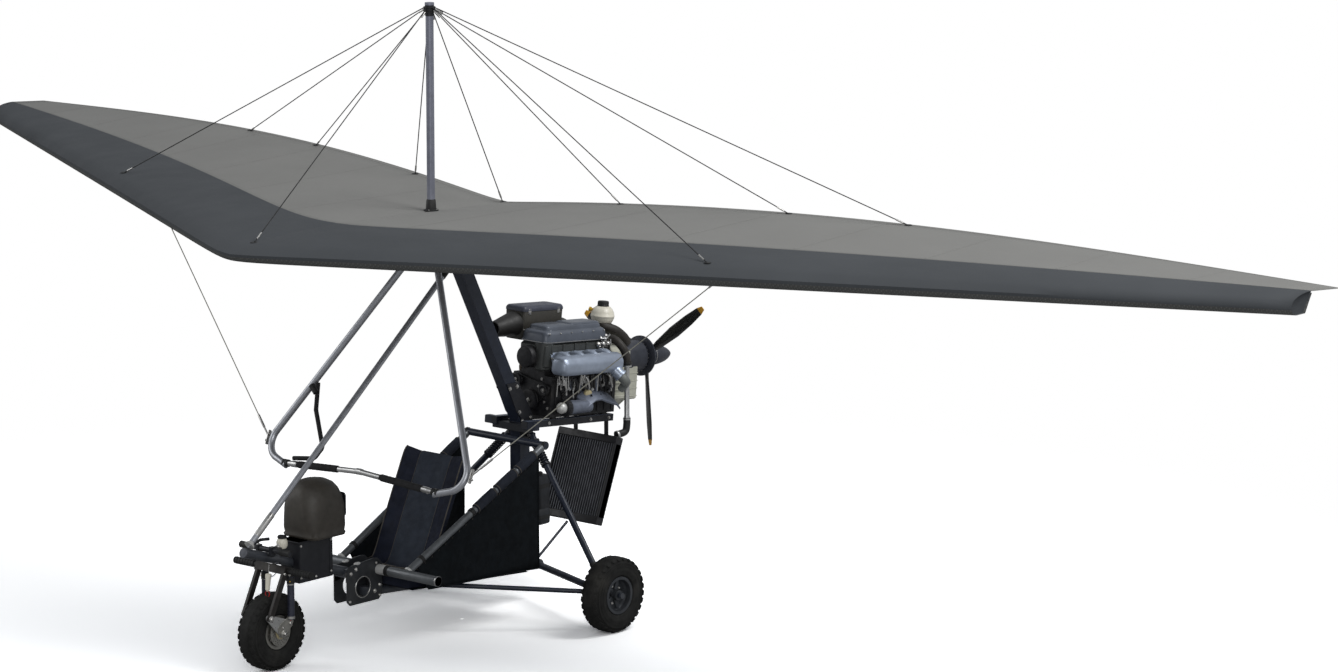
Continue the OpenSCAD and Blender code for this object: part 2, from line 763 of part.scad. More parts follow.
module valve_cover() {
    color([0.45, 0.47, 0.50]) engine_frame()
        translate([0, 0, rail_top + 440 + touch]) hull() {
            translate([-110, crank_y0 - 20, 0]) cube([220, crank_l - 10, 65]);
            translate([-85, crank_y0 + 5, 0]) cube([170, crank_l - 60, 105]);
        }
}

plenum = [212, 22];
module intake_plenum() {
    color([0.62, 0.66, 0.72]) engine_frame() {
        translate([plenum[0], crank_y0 - 30, plenum[1]]) rotate([-90, 0, 0])
            cylinder(d = 128, h = 520);
        for (i = [0:3]) translate([crank_w / 2 - 60 + touch, crank_y0 + 70 + i * 120, plenum[1] + 20])
            rotate([0, 90, 0]) cylinder(d = 46, h = 100);
    }
}

module airbox() {
    color([0.10, 0.10, 0.10]) engine_frame() {
        translate([-290, -950, 120]) cube([160, 350, 200]);
        translate([-146, -800, -55 + touch]) cube([30, 60, 176]);
        hull() {
            translate([-210, -1120, 187]) rotate([-90, 0, 0]) cylinder(d = 96, h = 1);
            translate([-210, -950, 212]) rotate([-90, 0, 0]) cylinder(d = 146, h = 1);
        }
    }
}

module coolant_tank() {
    color([0.80, 0.78, 0.68]) engine_frame() {
        translate([-30, -375, 250]) sphere(d = 140);
        translate([-30, -375, 308]) cylinder(d = 68, h = 30);
        translate([-30, -375, 80 + touch]) cylinder(d = 50, h = 120);
    }
}

module gearbox() {
    color([0.80, 0.80, 0.72]) engine_frame() difference() {
        union() {
            translate([-120, crank_y1 + touch, -270]) cube([240, 150, 350]);
            translate([0, crank_y1 + 150, 0]) rotate([-90, 0, 0]) cylinder(d = 200, h = 200);
            translate([-85, crank_y1 + 149, -240]) cube([170, 120, 200]);
        }
        translate([0, -260, 0]) rotate([-90, 0, 0])
            cylinder(d = prop_shaft_d + 2 * pin_gap, h = 300);
    }
}

// Pipe from the valve cover down to the radiator, with a coupling at each corner
coolant_d = 32;
coolant_route = [[90.4, 1170, 1461], [200, 1170, 1461], [200, 1206, 1330], [200, 1206, 985],
    [186, 1128, 925]];
module coolant_pipe() {
    stop = 4;
    last = len(coolant_route) - 1;
    color([0.6, 0.6, 0.62]) for (i = [0:last - 1]) {
        p = coolant_route[i];
        q = coolant_route[i + 1];
        u = unit(q - p);
        rod(i == 0 ? p : p + u * stop, i == last - 1 ? q : q - u * stop, coolant_d);
        if (i > 0) translate(p) ball(coolant_d + 10);
    }
}

// Height of the underside of the rails at y
function rail_under(y) = prop_centre[2] +
    (rail_top - 40 + (prop_centre[1] - y) * sin(thrust_tilt)) / cos(thrust_tilt);
rad_top = [1110, 905];
rad_foot = [925, 425];
module radiator() {
    way = unit([0, rad_foot[0] - rad_top[0], rad_foot[1] - rad_top[1]]);
    lean = acos(-way[2]);
    color([0.10, 0.10, 0.11]) {
        translate(at_x(0, rad_foot)) rotate([-lean, 0, 0])
            translate([-rad_w / 2, -rad_t / 2, 0]) cube([rad_w, rad_t, rad_l]);
        // hangers up to the rails
        both_sides() translate([106, rad_top[0], rad_top[1] - 10])
            cube([28, 8, rail_under(rad_top[0] + 8) - touch - rad_top[1] + 10]);
    }
}

module prop_hub() {
    color([0.12, 0.12, 0.13]) engine_frame() rotate([-90, 0, 0]) {
        translate([0, 0, -240]) cylinder(d = prop_shaft_d, h = 240);
        translate([0, 0, -56]) cylinder(d = 240, h = 14);
        translate([0, 0, -43]) cylinder(d = hub_d, h = 83);
        rotate_extrude() polygon([[0, 35], [62, 35], [60, 80], [48, 140], [26, 195], [0, 218]]);
    }
}

// Blade sections from root to tip: [share of the radius, chord, thickness, pitch angle]
hub_d = 120;
blade_table = [
    [(hub_d / 2 + touch) / prop_r, 34, 30, -60], [0.25, 58, 22, -45], [0.5, 74, 15, -30],
    [0.75, 66, 10, -22], [0.93, 48, 7, -18], [1, 26, 5, -17]
];
module prop_blade() {
    loft([for (s = blade_table) let (r = s[0] * prop_r)
        [for (a = [0:30:330]) let (u = s[1] / 2 * cos(a), v = s[2] / 2 * sin(a))
            [r, u * sin(s[3]) - v * cos(s[3]), u * cos(s[3]) + v * sin(s[3])]]]);
}
blade_turn = 38.4;
module prop_blades() {
    color([0.06, 0.06, 0.06]) engine_frame() for (i = [0:prop_blades_n - 1])
        rotate([0, -blade_turn - i * 360 / prop_blades_n, 0]) prop_blade();
}

// ---------------------------------------------------------------- rear frame and main gear

module pylon_plates() {
    color([0.12, 0.13, 0.16]) {
        for (side = [-1, 1]) translate([side * (pylon_w / 2 + touch + 3) - 3, 0, 0])
            rotate([90, 0, 90]) linear_extrude(6) polygon([
                [post_y - 38, 960], [post_y + 60, 960], [post_y + 60, 1120],
                [440, 1330], [340, 1330], [425, 1150], [post_y - 38, 1113]
            ]);
        both_sides() rod([pylon_w / 2 + 6, post_y + 10, 1010], [64, post_y + 10, 1010], 30);
    }
}

module fuel_tank() {
    color([0.06, 0.07, 0.08])
        translate([-110, post_y + pylon_w / 2 + touch, 470]) cube([220, 110, 290]);
}

module rear_bracing() {
    color([0.14, 0.15, 0.18]) {
        rod([0, 640, 236], [0, 625, 468], 14);
        rod([0, 645, 245], [0, 903, 418], 16);
    }
}

leg_top = [85, post_y + 10, 1010];
hub_in = track / 2 - 75;
leg_foot = [hub_in - 14, axle_y - 10, 300];
module gear_legs() {
    color([0.13, 0.15, 0.20]) both_sides() {
        rod(leg_top, leg_foot, 38);
        translate(leg_top) sphere(d = 42);
        translate(leg_foot) sphere(d = 42);
    }
}

module gear_springs() {
    way = unit(leg_foot - leg_top);
    color([0.12, 0.12, 0.14]) both_sides() difference() {
        rod(leg_top + way * 40, leg_top + way * 215, 58);
        rod(leg_top + way * 30, leg_top + way * 225, 38 + 2 * touch);
    }
}

module axle_tubes() {
    root = [beam_d / 2 + 8, keel_tail[0] - 30, keel_tail[1]];
    color([0.13, 0.15, 0.20]) both_sides() {
        rod(root, [hub_in, axle_y, wheel_z], 40);
        translate([hub_in - 28, axle_y - 24, wheel_z - 24]) cube([28, 48, 86 - 24]);
        translate([hub_in - merge, axle_y, wheel_z]) rotate([0, 90, 0])
            cylinder(d = axle_d, h = 146);
        translate([hub_in + 130, axle_y, wheel_z]) rotate([0, 90, 0]) cylinder(d = 34, h = 14);
        // drag tube to the keel
        rod([beam_d / 2 + 10.5, -350, 274], [hub_in - 14, axle_y - 16, wheel_z], 28);
    }
}

// ---------------------------------------------------------------- nodes

wing_sail();
keel_tube();
cross_bars();
kingpost();
upper_stays();
lower_stays();
downtubes();
base_bar();
grips();
grab_bar();
hang_block();
front_strut();
pylon();
pylon_plates();
main_beam();
nose_plates();
foot_tube();
side_tubes();
side_pads();
seat_cross_tubes();
seat();
cockpit_floor();
side_panels();
instrument_pod();
pod_stand();
brake_bar();
fork();
steering_bar();
trailing_arms();
nose_dampers();
nose_wheel();
nose_tyre();
engine_rails();
crankcase();
valve_cover();
intake_plenum();
airbox();
coolant_tank();
gearbox();
coolant_pipe();
radiator();
prop_hub();
prop_blades();
fuel_tank();
rear_bracing();
gear_legs();
gear_springs();
axle_tubes();
wheel_port();
tyre_port();
wheel_starboard();
tyre_starboard();
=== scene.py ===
"""Looks of a flex-wing microlight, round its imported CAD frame. Metres, +X port, nose to -Y."""
import json
import math
import random

import bmesh
import bpy
from mathutils import Matrix, Vector


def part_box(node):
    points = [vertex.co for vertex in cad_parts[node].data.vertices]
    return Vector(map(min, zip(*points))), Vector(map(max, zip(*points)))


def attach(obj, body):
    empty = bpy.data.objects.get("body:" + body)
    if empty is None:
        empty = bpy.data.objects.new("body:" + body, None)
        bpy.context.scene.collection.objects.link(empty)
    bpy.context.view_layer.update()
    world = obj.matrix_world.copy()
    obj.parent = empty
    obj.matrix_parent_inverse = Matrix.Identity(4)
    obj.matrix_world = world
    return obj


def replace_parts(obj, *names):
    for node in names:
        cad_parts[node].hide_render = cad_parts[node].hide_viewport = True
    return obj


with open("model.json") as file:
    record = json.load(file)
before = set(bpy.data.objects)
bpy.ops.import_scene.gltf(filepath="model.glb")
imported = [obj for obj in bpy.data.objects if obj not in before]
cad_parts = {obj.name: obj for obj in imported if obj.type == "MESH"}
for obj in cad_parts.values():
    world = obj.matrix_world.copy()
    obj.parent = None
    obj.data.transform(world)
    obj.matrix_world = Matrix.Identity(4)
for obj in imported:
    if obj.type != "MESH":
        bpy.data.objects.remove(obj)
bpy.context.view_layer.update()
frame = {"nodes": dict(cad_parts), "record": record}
X, Y, Z = Vector((1, 0, 0)), Vector((0, 1, 0)), Vector((0, 0, 1))
TAU = 2 * math.pi


# ---------------------------------------------------------------- mesh making

def basis(axis, side=None):
    """Rotation whose third column is axis, and whose first is as near side as it can be."""
    w = Vector(axis).normalized()
    hint = Vector(side) if side is not None else (X if abs(w.x) < 0.9 else Y)
    u = (hint - w * hint.dot(w)).normalized()
    return Matrix((u, w.cross(u), w)).transposed()


def placed(origin, axis=(0, 0, 1), side=None):
    """4x4 place with its origin at a point and its +Z along axis."""
    return Matrix.Translation(Vector(origin)) @ basis(axis, side).to_4x4()


def circle(radius, sides, turn=0.0):
    return [(radius * math.cos(turn + TAU * i / sides), radius * math.sin(turn + TAU * i / sides))
            for i in range(sides)]


def round_box(width, height, radius, steps=4):
    """Outline of a rectangle with round corners, centred on the origin."""
    points = []
    for quarter, (cx, cy) in enumerate(((1, 1), (-1, 1), (-1, -1), (1, -1))):
        for i in range(steps + 1):
            a = math.pi / 2 * (quarter + i / steps)
            points.append((cx * (width / 2 - radius) + radius * math.cos(a),
                           cy * (height / 2 - radius) + radius * math.sin(a)))
    return points


def inset(outline, by):
    """Outline moved inwards; the outline runs anticlockwise."""
    n, moved = len(outline), []
    for i, p in enumerate(outline):
        a, b = Vector(p) - Vector(outline[i - 1]), Vector(outline[(i + 1) % n]) - Vector(p)
        na = Vector((-a.y, a.x)).normalized() if a.length else Vector((0, 0))
        nb = Vector((-b.y, b.x)).normalized() if b.length else Vector((0, 0))
        share = max(0.35, 1 + na.dot(nb))
        moved.append(tuple(Vector(p) + (na + nb) * (by / share)))
    return moved


class Shape:
    """Gathers faces for one piece; each face has the number of one of the piece's materials."""

    def __init__(self):
        self.verts, self.faces, self.marks = [], [], []

    def face_list(self, verts, faces, mark=0):
        start = len(self.verts)
        self.verts += [tuple(v) for v in verts]
        self.faces += [tuple(start + i for i in f) for f in faces]
        self.marks += [mark] * len(faces)
        return self

    def rings(self, rings, mark=0, closed=True, caps=True):
        """Skin through rings that all have the same number of points."""
        n, m = len(rings[0]), len(rings)
        span = n if closed else n - 1
        faces = [(i * n + j, i * n + (j + 1) % n, (i + 1) * n + (j + 1) % n, (i + 1) * n + j)
                 for i in range(m - 1) for j in range(span)]
        if caps and closed:
            faces += [tuple(range(n - 1, -1, -1)), tuple((m - 1) * n + j for j in range(n))]
        return self.face_list([p for r in rings for p in r], faces, mark)

    def lathe(self, place, profile, sides=32, mark=0, caps=True):
        """Turned shape: profile holds (height, radius) pairs along the place's +Z."""
        rings = [[place @ Vector((x, y, h)) for x, y in circle(max(r, 1e-5), sides)]
                 for h, r in profile]
        return self.rings(rings, mark, True, caps)

    def loop(self, place, profile, sides=48, mark=0):
        """Turned shape whose profile is a closed outline of (height, radius) pairs."""
        rings = [[place @ Vector((r * math.cos(a), r * math.sin(a), h)) for h, r in profile]
                 for a in (TAU * i / sides for i in range(sides))]
        return self.rings(rings + rings[:1], mark, True, False)

    def slab(self, place, outline, depth, bevel=0.0, mark=0):
        """Outline in the place's XY plane, extruded along its +Z, with bevelled rims."""
        layers = [(0, outline), (depth, outline)]
        if bevel:
            small = inset(outline, bevel)
            layers = [(0, small), (bevel, outline), (depth - bevel, outline), (depth, small)]
        return self.rings([[place @ Vector((x, y, h)) for x, y in o] for h, o in layers], mark)

    def box(self, low, high, bevel=0.0, mark=0, place=None):
        """Box between two corners with bevelled edges."""
        low, high = Vector(low), Vector(high)
        size, mid = high - low, (low + high) / 2
        to = (place or Matrix.Identity(4)) @ Matrix.Translation((mid.x, mid.y, low.z))
        return self.slab(to, round_box(size.x, size.y, max(bevel, 1e-4), 2), size.z, bevel, mark)

    def tube(self, points, radius, sides=12, mark=0, caps=True):
        """Round tube through points; radius is one number or one for each point."""
        points = [Vector(p) for p in points]
        radii = radius if isinstance(radius, (list, tuple)) else [radius] * len(points)
        ways = [(points[min(i + 1, len(points) - 1)] - points[max(i - 1, 0)]).normalized()
                for i in range(len(points))]
        frame_now, rings = basis(ways[0]), []
        for i, (p, way, r) in enumerate(zip(points, ways, radii)):
            if i:
                frame_now = ways[i - 1].rotation_difference(way).to_matrix() @ frame_now
            rings.append([p + frame_now @ Vector((x, y, 0)) for x, y in circle(r, sides)])
        return self.rings(rings, mark, True, caps)

    def ball(self, centre, radius, mark=0, stretch=(1, 1, 1), sides=20, rows=12):
        """Ball or stretched ball."""
        place = Matrix.Translation(Vector(centre)) @ Matrix.Diagonal((*stretch, 1))
        steps = [math.pi * i / rows for i in range(rows + 1)]
        return self.lathe(place, [(-radius * math.cos(a), radius * math.sin(a)) for a in steps],
                          sides, mark, False)

    def bolt(self, point, axis, size=0.008, mark=0, height=None):
        """Hexagon bolt head on a washer; size is the head's radius."""
        place = placed(point, axis)
        tall = height or size * 0.8
        self.slab(place, circle(size * 1.35, 16), tall * 0.25, 0, mark)
        return self.slab(place @ Matrix.Translation((0, 0, tall * 0.25)), circle(size, 6), tall,
                         size * 0.15, mark)

    def make(self, name, body, *materials, slot=None, smooth_angle=38):
        """The piece as a mesh object that rides on a body."""
        mesh = bpy.data.meshes.new(name)
        mesh.from_pydata(self.verts, [], self.faces)
        for m in materials:
            mesh.materials.append(m)
        mesh.polygons.foreach_set("material_index", self.marks)
        work = bmesh.new()
        work.from_mesh(mesh)
        bmesh.ops.remove_doubles(work, verts=work.verts, dist=2e-6)
        bmesh.ops.recalc_face_normals(work, faces=work.faces)
        work.to_mesh(mesh)
        work.free()
        mesh.polygons.foreach_set("use_smooth", [True] * len(mesh.polygons))
        mesh.set_sharp_from_angle(angle=math.radians(smooth_angle))
        piece = bpy.data.objects.new(name, mesh)
        bpy.context.scene.collection.objects.link(piece)
        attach(piece, body)
        return piece


def curve(points, steps=8):
    """Smooth line through points, as a list of points."""
    points = [Vector(p) for p in points]
    ends = [points[0] * 2 - points[1]] + points + [points[-1] * 2 - points[-2]]
    line = []
    for i in range(1, len(ends) - 2):
        a, b, c, d = ends[i - 1:i + 3]
        for s in range(steps):
            t = s / steps
            line.append(0.5 * (2 * b + (c - a) * t + (2 * a - 5 * b + 4 * c - d) * t * t
                               + (3 * b - a - 3 * c + d) * t ** 3))
    return line + [points[-1]]


def bent(points, radius, steps=6):
    """Line through points with round corners of one bend radius."""
    points = [Vector(p) for p in points]
    line = [points[0]]
    for a, b, c in zip(points, points[1:], points[2:]):
        u, v = (a - b).normalized(), (c - b).normalized()
        back = min(radius / math.tan(max(u.angle(v), 0.2) / 2),
                   0.49 * (a - b).length, 0.49 * (c - b).length)
        for i in range(steps + 1):
            t = i / steps
            line.append((b + u * back) * (1 - t) ** 2 + b * 2 * t * (1 - t)
                        + (b + v * back) * t * t)
    return line + [points[-1]]


def mix(a, b, t):
    return a + (b - a) * t


def on_side(point, side):
    """A port point, or its mirror image on the starboard side where side is -1."""
    return Vector((side * point.x, point.y, point.z))


# ---------------------------------------------------------------- materials

def material(name, colour, rough=0.5, metal=0.0, mottle=0.12, mottle_size=0.05, grain=0.0,
             grain_size=0.002, coat=0.0, weave=0.0, weave_size=0.004, dust=0.0,
             dots=0.0, shine=0.5):
    """Procedural finish: colour mottling, dust, uneven gloss, and bump from grain or a weave."""
    made = bpy.data.materials.new(name)
    made.use_nodes = True
    tree = made.node_tree
    link = tree.links.new
    shader = tree.nodes["Principled BSDF"]
    shader.inputs["Metallic"].default_value = metal
    shader.inputs["Coat Weight"].default_value = coat
    shader.inputs["Coat Roughness"].default_value = 0.15
    shader.inputs["Specular IOR Level"].default_value = shine
    where = tree.nodes.new("ShaderNodeTexCoord").outputs["Object"]

    def noise(size, detail=4.0):
        node = tree.nodes.new("ShaderNodeTexNoise")
        node.inputs["Scale"].default_value = 1 / size
        node.inputs["Detail"].default_value = detail
        link(where, node.inputs["Vector"])
        return node.outputs["Fac"]

    def stretch(value, low, high, to_low, to_high):
        node = tree.nodes.new("ShaderNodeMapRange")
        for key, number in (("From Min", low), ("From Max", high), ("To Min", to_low),
                            ("To Max", to_high)):
            node.inputs[key].default_value = number
        link(value, node.inputs["Value"])
        return node.outputs["Result"]

    def blend(factor, a, b):
        node = tree.nodes.new("ShaderNodeMix")
        node.data_type = "RGBA"
        link(factor, node.inputs["Factor"])
        for socket, value in ((node.inputs[6], a), (node.inputs[7], b)):
            if isinstance(value, (tuple, list)):
                socket.default_value = (*value, 1)
            else:
                link(value, socket)
        return node.outputs[2]

    def bands(axis, size):
        node = tree.nodes.new("ShaderNodeTexWave")
        node.bands_direction = axis
        node.inputs["Scale"].default_value = 1 / size / 3.2
        node.inputs["Distortion"].default_value = 0.0
        link(where, node.inputs["Vector"])
        return node.outputs["Fac"]

    dark = tuple(c * (1 - mottle) for c in colour)
    light = tuple(min(1.0, c * (1 + mottle)) for c in colour)
    tint = blend(stretch(noise(mottle_size), 0.35, 0.65, 0, 1), dark, light)
    if dust:
        tint = blend(stretch(noise(mottle_size * 4, 8.0), 0.5, 0.75, 0, dust), tint,
                     (0.22, 0.20, 0.17))
    heights = []
    if weave or dots:
        cross = tree.nodes.new("ShaderNodeMath")
        cross.operation = "MULTIPLY"
        link(bands("X", weave_size), cross.inputs[0])
        link(bands("Y", weave_size), cross.inputs[1])
        heights.append((cross.outputs[0], weave))
        if dots:
            tint = blend(stretch(cross.outputs[0], 0.2, 0.9, 0, dots), tint,
                         tuple(min(1.0, c * 2.2) for c in colour))
    if grain:
        heights.append((noise(grain_size, 6.0), grain))
    normal = None
    for value, strength in heights:
        node = tree.nodes.new("ShaderNodeBump")
        node.inputs["Strength"].default_value = strength
        node.inputs["Distance"].default_value = 0.001
        link(value, node.inputs["Height"])
        if normal:
            link(normal, node.inputs["Normal"])
        normal = node.outputs["Normal"]
    if normal:
        link(normal, shader.inputs["Normal"])
    link(tint, shader.inputs["Base Color"])
    link(stretch(noise(mottle_size * 0.6, 6.0), 0.3, 0.7, max(0.03, rough - 0.08),
                 min(1.0, rough + 0.10)), shader.inputs["Roughness"])
    return made


MATERIALS = {
    "sail": material("sail_top_cloth", (0.215, 0.213, 0.203), 0.80, mottle=0.03, mottle_size=0.6,
                     weave=0.2, weave_size=0.003, shine=0.2),
    # the nose cloth is the sail's grey painted darker: painted shade on the front of the nose
    "sail_nose_painted_shade": material("sail_nose_painted_shade_cloth", (0.062, 0.067, 0.073), 0.75, mottle=0.04,
                          mottle_size=0.5, weave=0.3, weave_size=0.006, shine=0.2),
    # the lower band is the sail's grey painted darker as painted shade; its dotted weave is real
    "sail_band_painted_shade": material("sail_lower_band_painted_shade", (0.070, 0.071, 0.069), 0.7, mottle=0.05,
                          mottle_size=0.4, weave=0.6, weave_size=0.012, dots=0.5, shine=0.25),
    "keel_alloy": material("keel_alloy", (0.50, 0.57, 0.66), 0.35, 0.85, grain=0.1),
    "kingpost_alloy": material("kingpost_alloy", (0.27, 0.28, 0.34), 0.38, 0.6, mottle=0.08),
    "strut_alloy": material("strut_alloy", (0.42, 0.43, 0.46), 0.36, 0.7, mottle=0.06),
    "bare_alloy": material("bare_alloy", (0.58, 0.58, 0.57), 0.32, 0.85, mottle=0.08),
    "frame_navy": material("frame_navy", (0.016, 0.021, 0.036), 0.40, mottle=0.12, coat=0.1,
                           dust=0.02, shine=0.4),
    "frame_black": material("frame_black", (0.012, 0.013, 0.017), 0.42, mottle=0.15, coat=0.08,
                            dust=0.03, shine=0.4),
    "frame_grey": material("frame_grey", (0.045, 0.05, 0.06), 0.36, mottle=0.15, coat=0.15,
                           dust=0.08),
    "plate_grey": material("plate_grey", (0.036, 0.039, 0.043), 0.45, 0.3, mottle=0.2, grain=0.25,
                           dust=0.1),
    "tube_grey": material("tube_grey", (0.17, 0.18, 0.19), 0.36, 0.5, mottle=0.10, dust=0.03),
    "padding": material("padding_cloth", (0.020, 0.024, 0.035), 0.8, mottle=0.15, weave=0.6,
                        weave_size=0.0025, shine=0.25),
    "seat_cloth": material("seat_cloth", (0.012, 0.015, 0.028), 0.75, mottle=0.2, weave=0.6,
                           weave_size=0.0025, shine=0.2, dust=0.02),
    "seat_panel": material("seat_panel_cloth", (0.030, 0.037, 0.052), 0.8, mottle=0.15, weave=0.7,
                           weave_size=0.003, shine=0.25, dust=0.03),
    "panel_cloth": material("panel_cloth", (0.006, 0.008, 0.010), 0.7, mottle=0.25, weave=0.5,
                            weave_size=0.003, shine=0.12),
    "piping": material("piping", (0.075, 0.066, 0.055), 0.7, mottle=0.2),
    "pod_shell": material("pod_shell", (0.046, 0.040, 0.032), 0.5, mottle=0.12, grain=0.35,
                          grain_size=0.0015, dust=0.06),
    "engine_dark": material("engine_dark", (0.012, 0.012, 0.014), 0.5, 0.2, mottle=0.4,
                            mottle_size=0.03, grain=0.4, dust=0.12),
    "engine_grey": material("engine_grey", (0.105, 0.120, 0.150), 0.38, 0.25, mottle=0.1,
                            mottle_size=0.12, coat=0.25, dust=0.1),
    "engine_silver": material("engine_silver", (0.36, 0.41, 0.50), 0.36, 0.55, mottle=0.08,
                              grain=0.3),
    "airbox_black": material("airbox_black", (0.015, 0.014, 0.013), 0.5, mottle=0.2, grain=0.3),
    "airbox_lid": material("airbox_lid", (0.055, 0.06, 0.085), 0.42, mottle=0.1, grain=0.2),
    "cream_plastic": material("cream_plastic", (0.80, 0.76, 0.64), 0.35, mottle=0.05, coat=0.2),
    "cream_metal": material("cream_metal", (0.50, 0.50, 0.42), 0.42, 0.1, mottle=0.08,
                            mottle_size=0.03, grain=0.3, dust=0.1),
    "radiator_black": material("radiator_black", (0.010, 0.010, 0.012), 0.5, mottle=0.2),
    "fins": material("radiator_fins", (0.10, 0.105, 0.12), 0.42, 0.5, mottle=0.2),
    "tank_black": material("tank_black", (0.012, 0.014, 0.018), 0.5, mottle=0.2, grain=0.2),
    "spring_steel": material("spring_steel", (0.02, 0.022, 0.028), 0.35, 0.3, mottle=0.2),
    "block_dark": material("block_dark", (0.04, 0.04, 0.045), 0.4, 0.6, mottle=0.2),
    "stay_dark": material("stay_dark", (0.03, 0.03, 0.03), 0.45, 0.4, mottle=0.2, grain=0.4),
    "stay_light": material("stay_light", (0.36, 0.35, 0.30), 0.42, 0.5, mottle=0.15, grain=0.4),
    "foam": material("foam", (0.011, 0.011, 0.012), 0.85, mottle=0.15, grain=0.6),
    "fork_brown": material("fork_brown", (0.024, 0.021, 0.019), 0.42, 0.3, mottle=0.2, dust=0.15),
    "bar_black": material("bar_black", (0.008, 0.008, 0.008), 0.55, mottle=0.2),
    "damper_blue": material("damper_blue", (0.030, 0.034, 0.055), 0.32, 0.2, mottle=0.12,
                            coat=0.3, dust=0.06),
    "rim_alloy": material("rim_alloy", (0.36, 0.35, 0.32), 0.38, 0.75, mottle=0.15, grain=0.25,
                          dust=0.15),
    "rim_grey": material("rim_grey", (0.055, 0.06, 0.068), 0.42, 0.4, mottle=0.15, dust=0.12),
    "tyre": material("tyre_rubber", (0.013, 0.013, 0.012), 0.75, mottle=0.25, grain=0.35,
                     dust=0.12, shine=0.3),
    "hub_black": material("hub_black", (0.012, 0.012, 0.015), 0.35, mottle=0.2, coat=0.2),
    "blade_black": material("blade_black", (0.010, 0.010, 0.010), 0.3, mottle=0.15, coat=0.4),
    "steel": material("bright_steel", (0.55, 0.54, 0.52), 0.28, 0.9, mottle=0.12),
    "cream_cap": material("cream_cap", (0.50, 0.43, 0.25), 0.45, 0.2, mottle=0.1),
    "red": material("caliper_red", (0.42, 0.012, 0.012), 0.35, mottle=0.15, coat=0.3),
    "yellow": material("yellow_fitting", (0.60, 0.36, 0.02), 0.4, mottle=0.1),
    "hose_brown": material("hose_brown", (0.026, 0.022, 0.018), 0.55, mottle=0.2, grain=0.2),
    "rubber": material("rubber", (0.010, 0.010, 0.010), 0.6, mottle=0.2),
    "weld": material("weld_white", (0.62, 0.62, 0.60), 0.4, 0.3, mottle=0.1),
    "gauge": material("gauge_glass", (0.012, 0.014, 0.018), 0.08, mottle=0.05, coat=0.8),
}
M = MATERIALS


def paint_frame():
    """Every CAD node takes the finish of its material slot."""
    for part in frame["record"]["subparts"]:
        node = frame["nodes"][part["node"]]
        node.data.materials.clear()
        node.data.materials.append(M[part["material_slot"]])


paint_frame()

# ---------------------------------------------------------------- wing

HALF_SPAN, NOSE_Y, SWEEP = 5.030, -1.820, math.tan(math.radians(29.8))
WING_Z, SAIL_T = 2.334, 0.012
LIP = 0.42


def out(x):
    return abs(x) / HALF_SPAN


def wing_lines(x):
    """Leading edge, fold and trailing edge as (y, z), with the nose depth and fold length."""
    k = out(x)
    lead = (NOSE_Y + SWEEP * (math.hypot(x, 0.12) - 0.12), WING_Z - 0.076 * k)
    fold = mix(0.640, 0.180, k ** 1.9) + 0.200 * math.exp(-abs(x) / 0.35)
    depth = mix(0.104, 0.114, k) + 0.036 * math.sin(math.pi * k ** 0.6)
    tail_z = lead[1] + mix(0.043, 0.085, k) + 0.114 * math.sin(math.pi * k ** 0.85)
    return lead, fold, depth, (lead[0] + mix(2.225, 0.450, k), tail_z)


def top_line(x, steps=8):
    """Upper surface at x, from the trailing edge over the fold and round the nose."""
    (y0, z0), fold, depth, tail = wing_lines(x)
    line = [(mix(y0 + fold, tail[0], t), mix(z0 + depth, tail[1], t) + SAIL_T / 2 * t)
            for t in (1 - i / steps for i in range(steps + 1))]
    for i in range(1, 10):
        k = i / 10
        line.append((y0 + fold * (1 - k), z0 + depth * (LIP + (1 - LIP) * math.sqrt(1 - k ** 2.2))))
    for i in range(6):
        a = math.pi / 2 * i / 5
        lip = depth * LIP
        line.append((y0 + lip * (1 - math.cos(a)), z0 + lip * (1 - math.sin(a))))
    return [Vector((x, y, z)) for y, z in line]


def under_line(x):
    """Lower surface at x from under the nose to where it meets the sail behind the fold."""
    (y0, z0), fold, depth, tail = wing_lines(x)
    start, knee = y0 + depth * LIP, (y0 + fold * 0.72, z0)
    back = (mix(y0 + fold, tail[0], 0.03), mix(z0 + depth, tail[1], 0.03) - SAIL_T)
    line = [(mix(start, knee[0], i / 4), z0) for i in range(5)]
    line += [(y0 + fold * 0.88, z0 + depth * 0.45), back]
    return [Vector((x, y, z)) for y, z in line]


def span_steps(count, reach=HALF_SPAN):
    """Places across the span, closer together near the keel."""
    half = [reach * (i / count) ** 1.35 for i in range(count + 1)]
    return [-x for x in reversed(half[1:])] + half


def thicken(piece, thickness):
    """Gives a sheet its cloth thickness, on its inner side."""
    solid = piece.modifiers.new("cloth", "SOLIDIFY")
    solid.thickness, solid.offset = thickness, -1


def ribbon(line_of, places, lift, mark=0, shape=None):
    """Strip that follows a surface line; line_of gives the strip's two edges at a place."""
    shape = shape or Shape()
    shape.rings([[p + Vector((0, 0, lift)) for p in line_of(s)] for s in places], mark, False)
    return shape


def sail():
    places = span_steps(44)
    top = Shape()
    lines = [top_line(x) for x in places]
    top.rings(lines, 0, False)
    per_row = len(lines[0]) - 1
    # behind the fold the cloth is pale; the nose and the lowest strip are the same grey painted
    # darker, as painted shade on the wing's front, and the lowest strip is banded
    top.marks = [0 if i % per_row < 8 else (1 if i % per_row < 19 else 2)
                 for i in range(len(top.faces))]
    sheet = top.make("sail_top", "wing", M["sail"], M["sail_nose_painted_shade"], M["sail_band_painted_shade"], slot="sail",
                     smooth_angle=50)
    thicken(sheet, 0.003)
    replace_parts(sheet, "wing_sail")
    # the underside takes the lower band's darker cloth: painted shade under the wing
    low = Shape().rings([under_line(x) for x in places], 0, False)
    under = low.make("sail_underside", "wing", M["sail_band_painted_shade"], slot="sail", smooth_angle=50)
    thicken(under, -0.002)


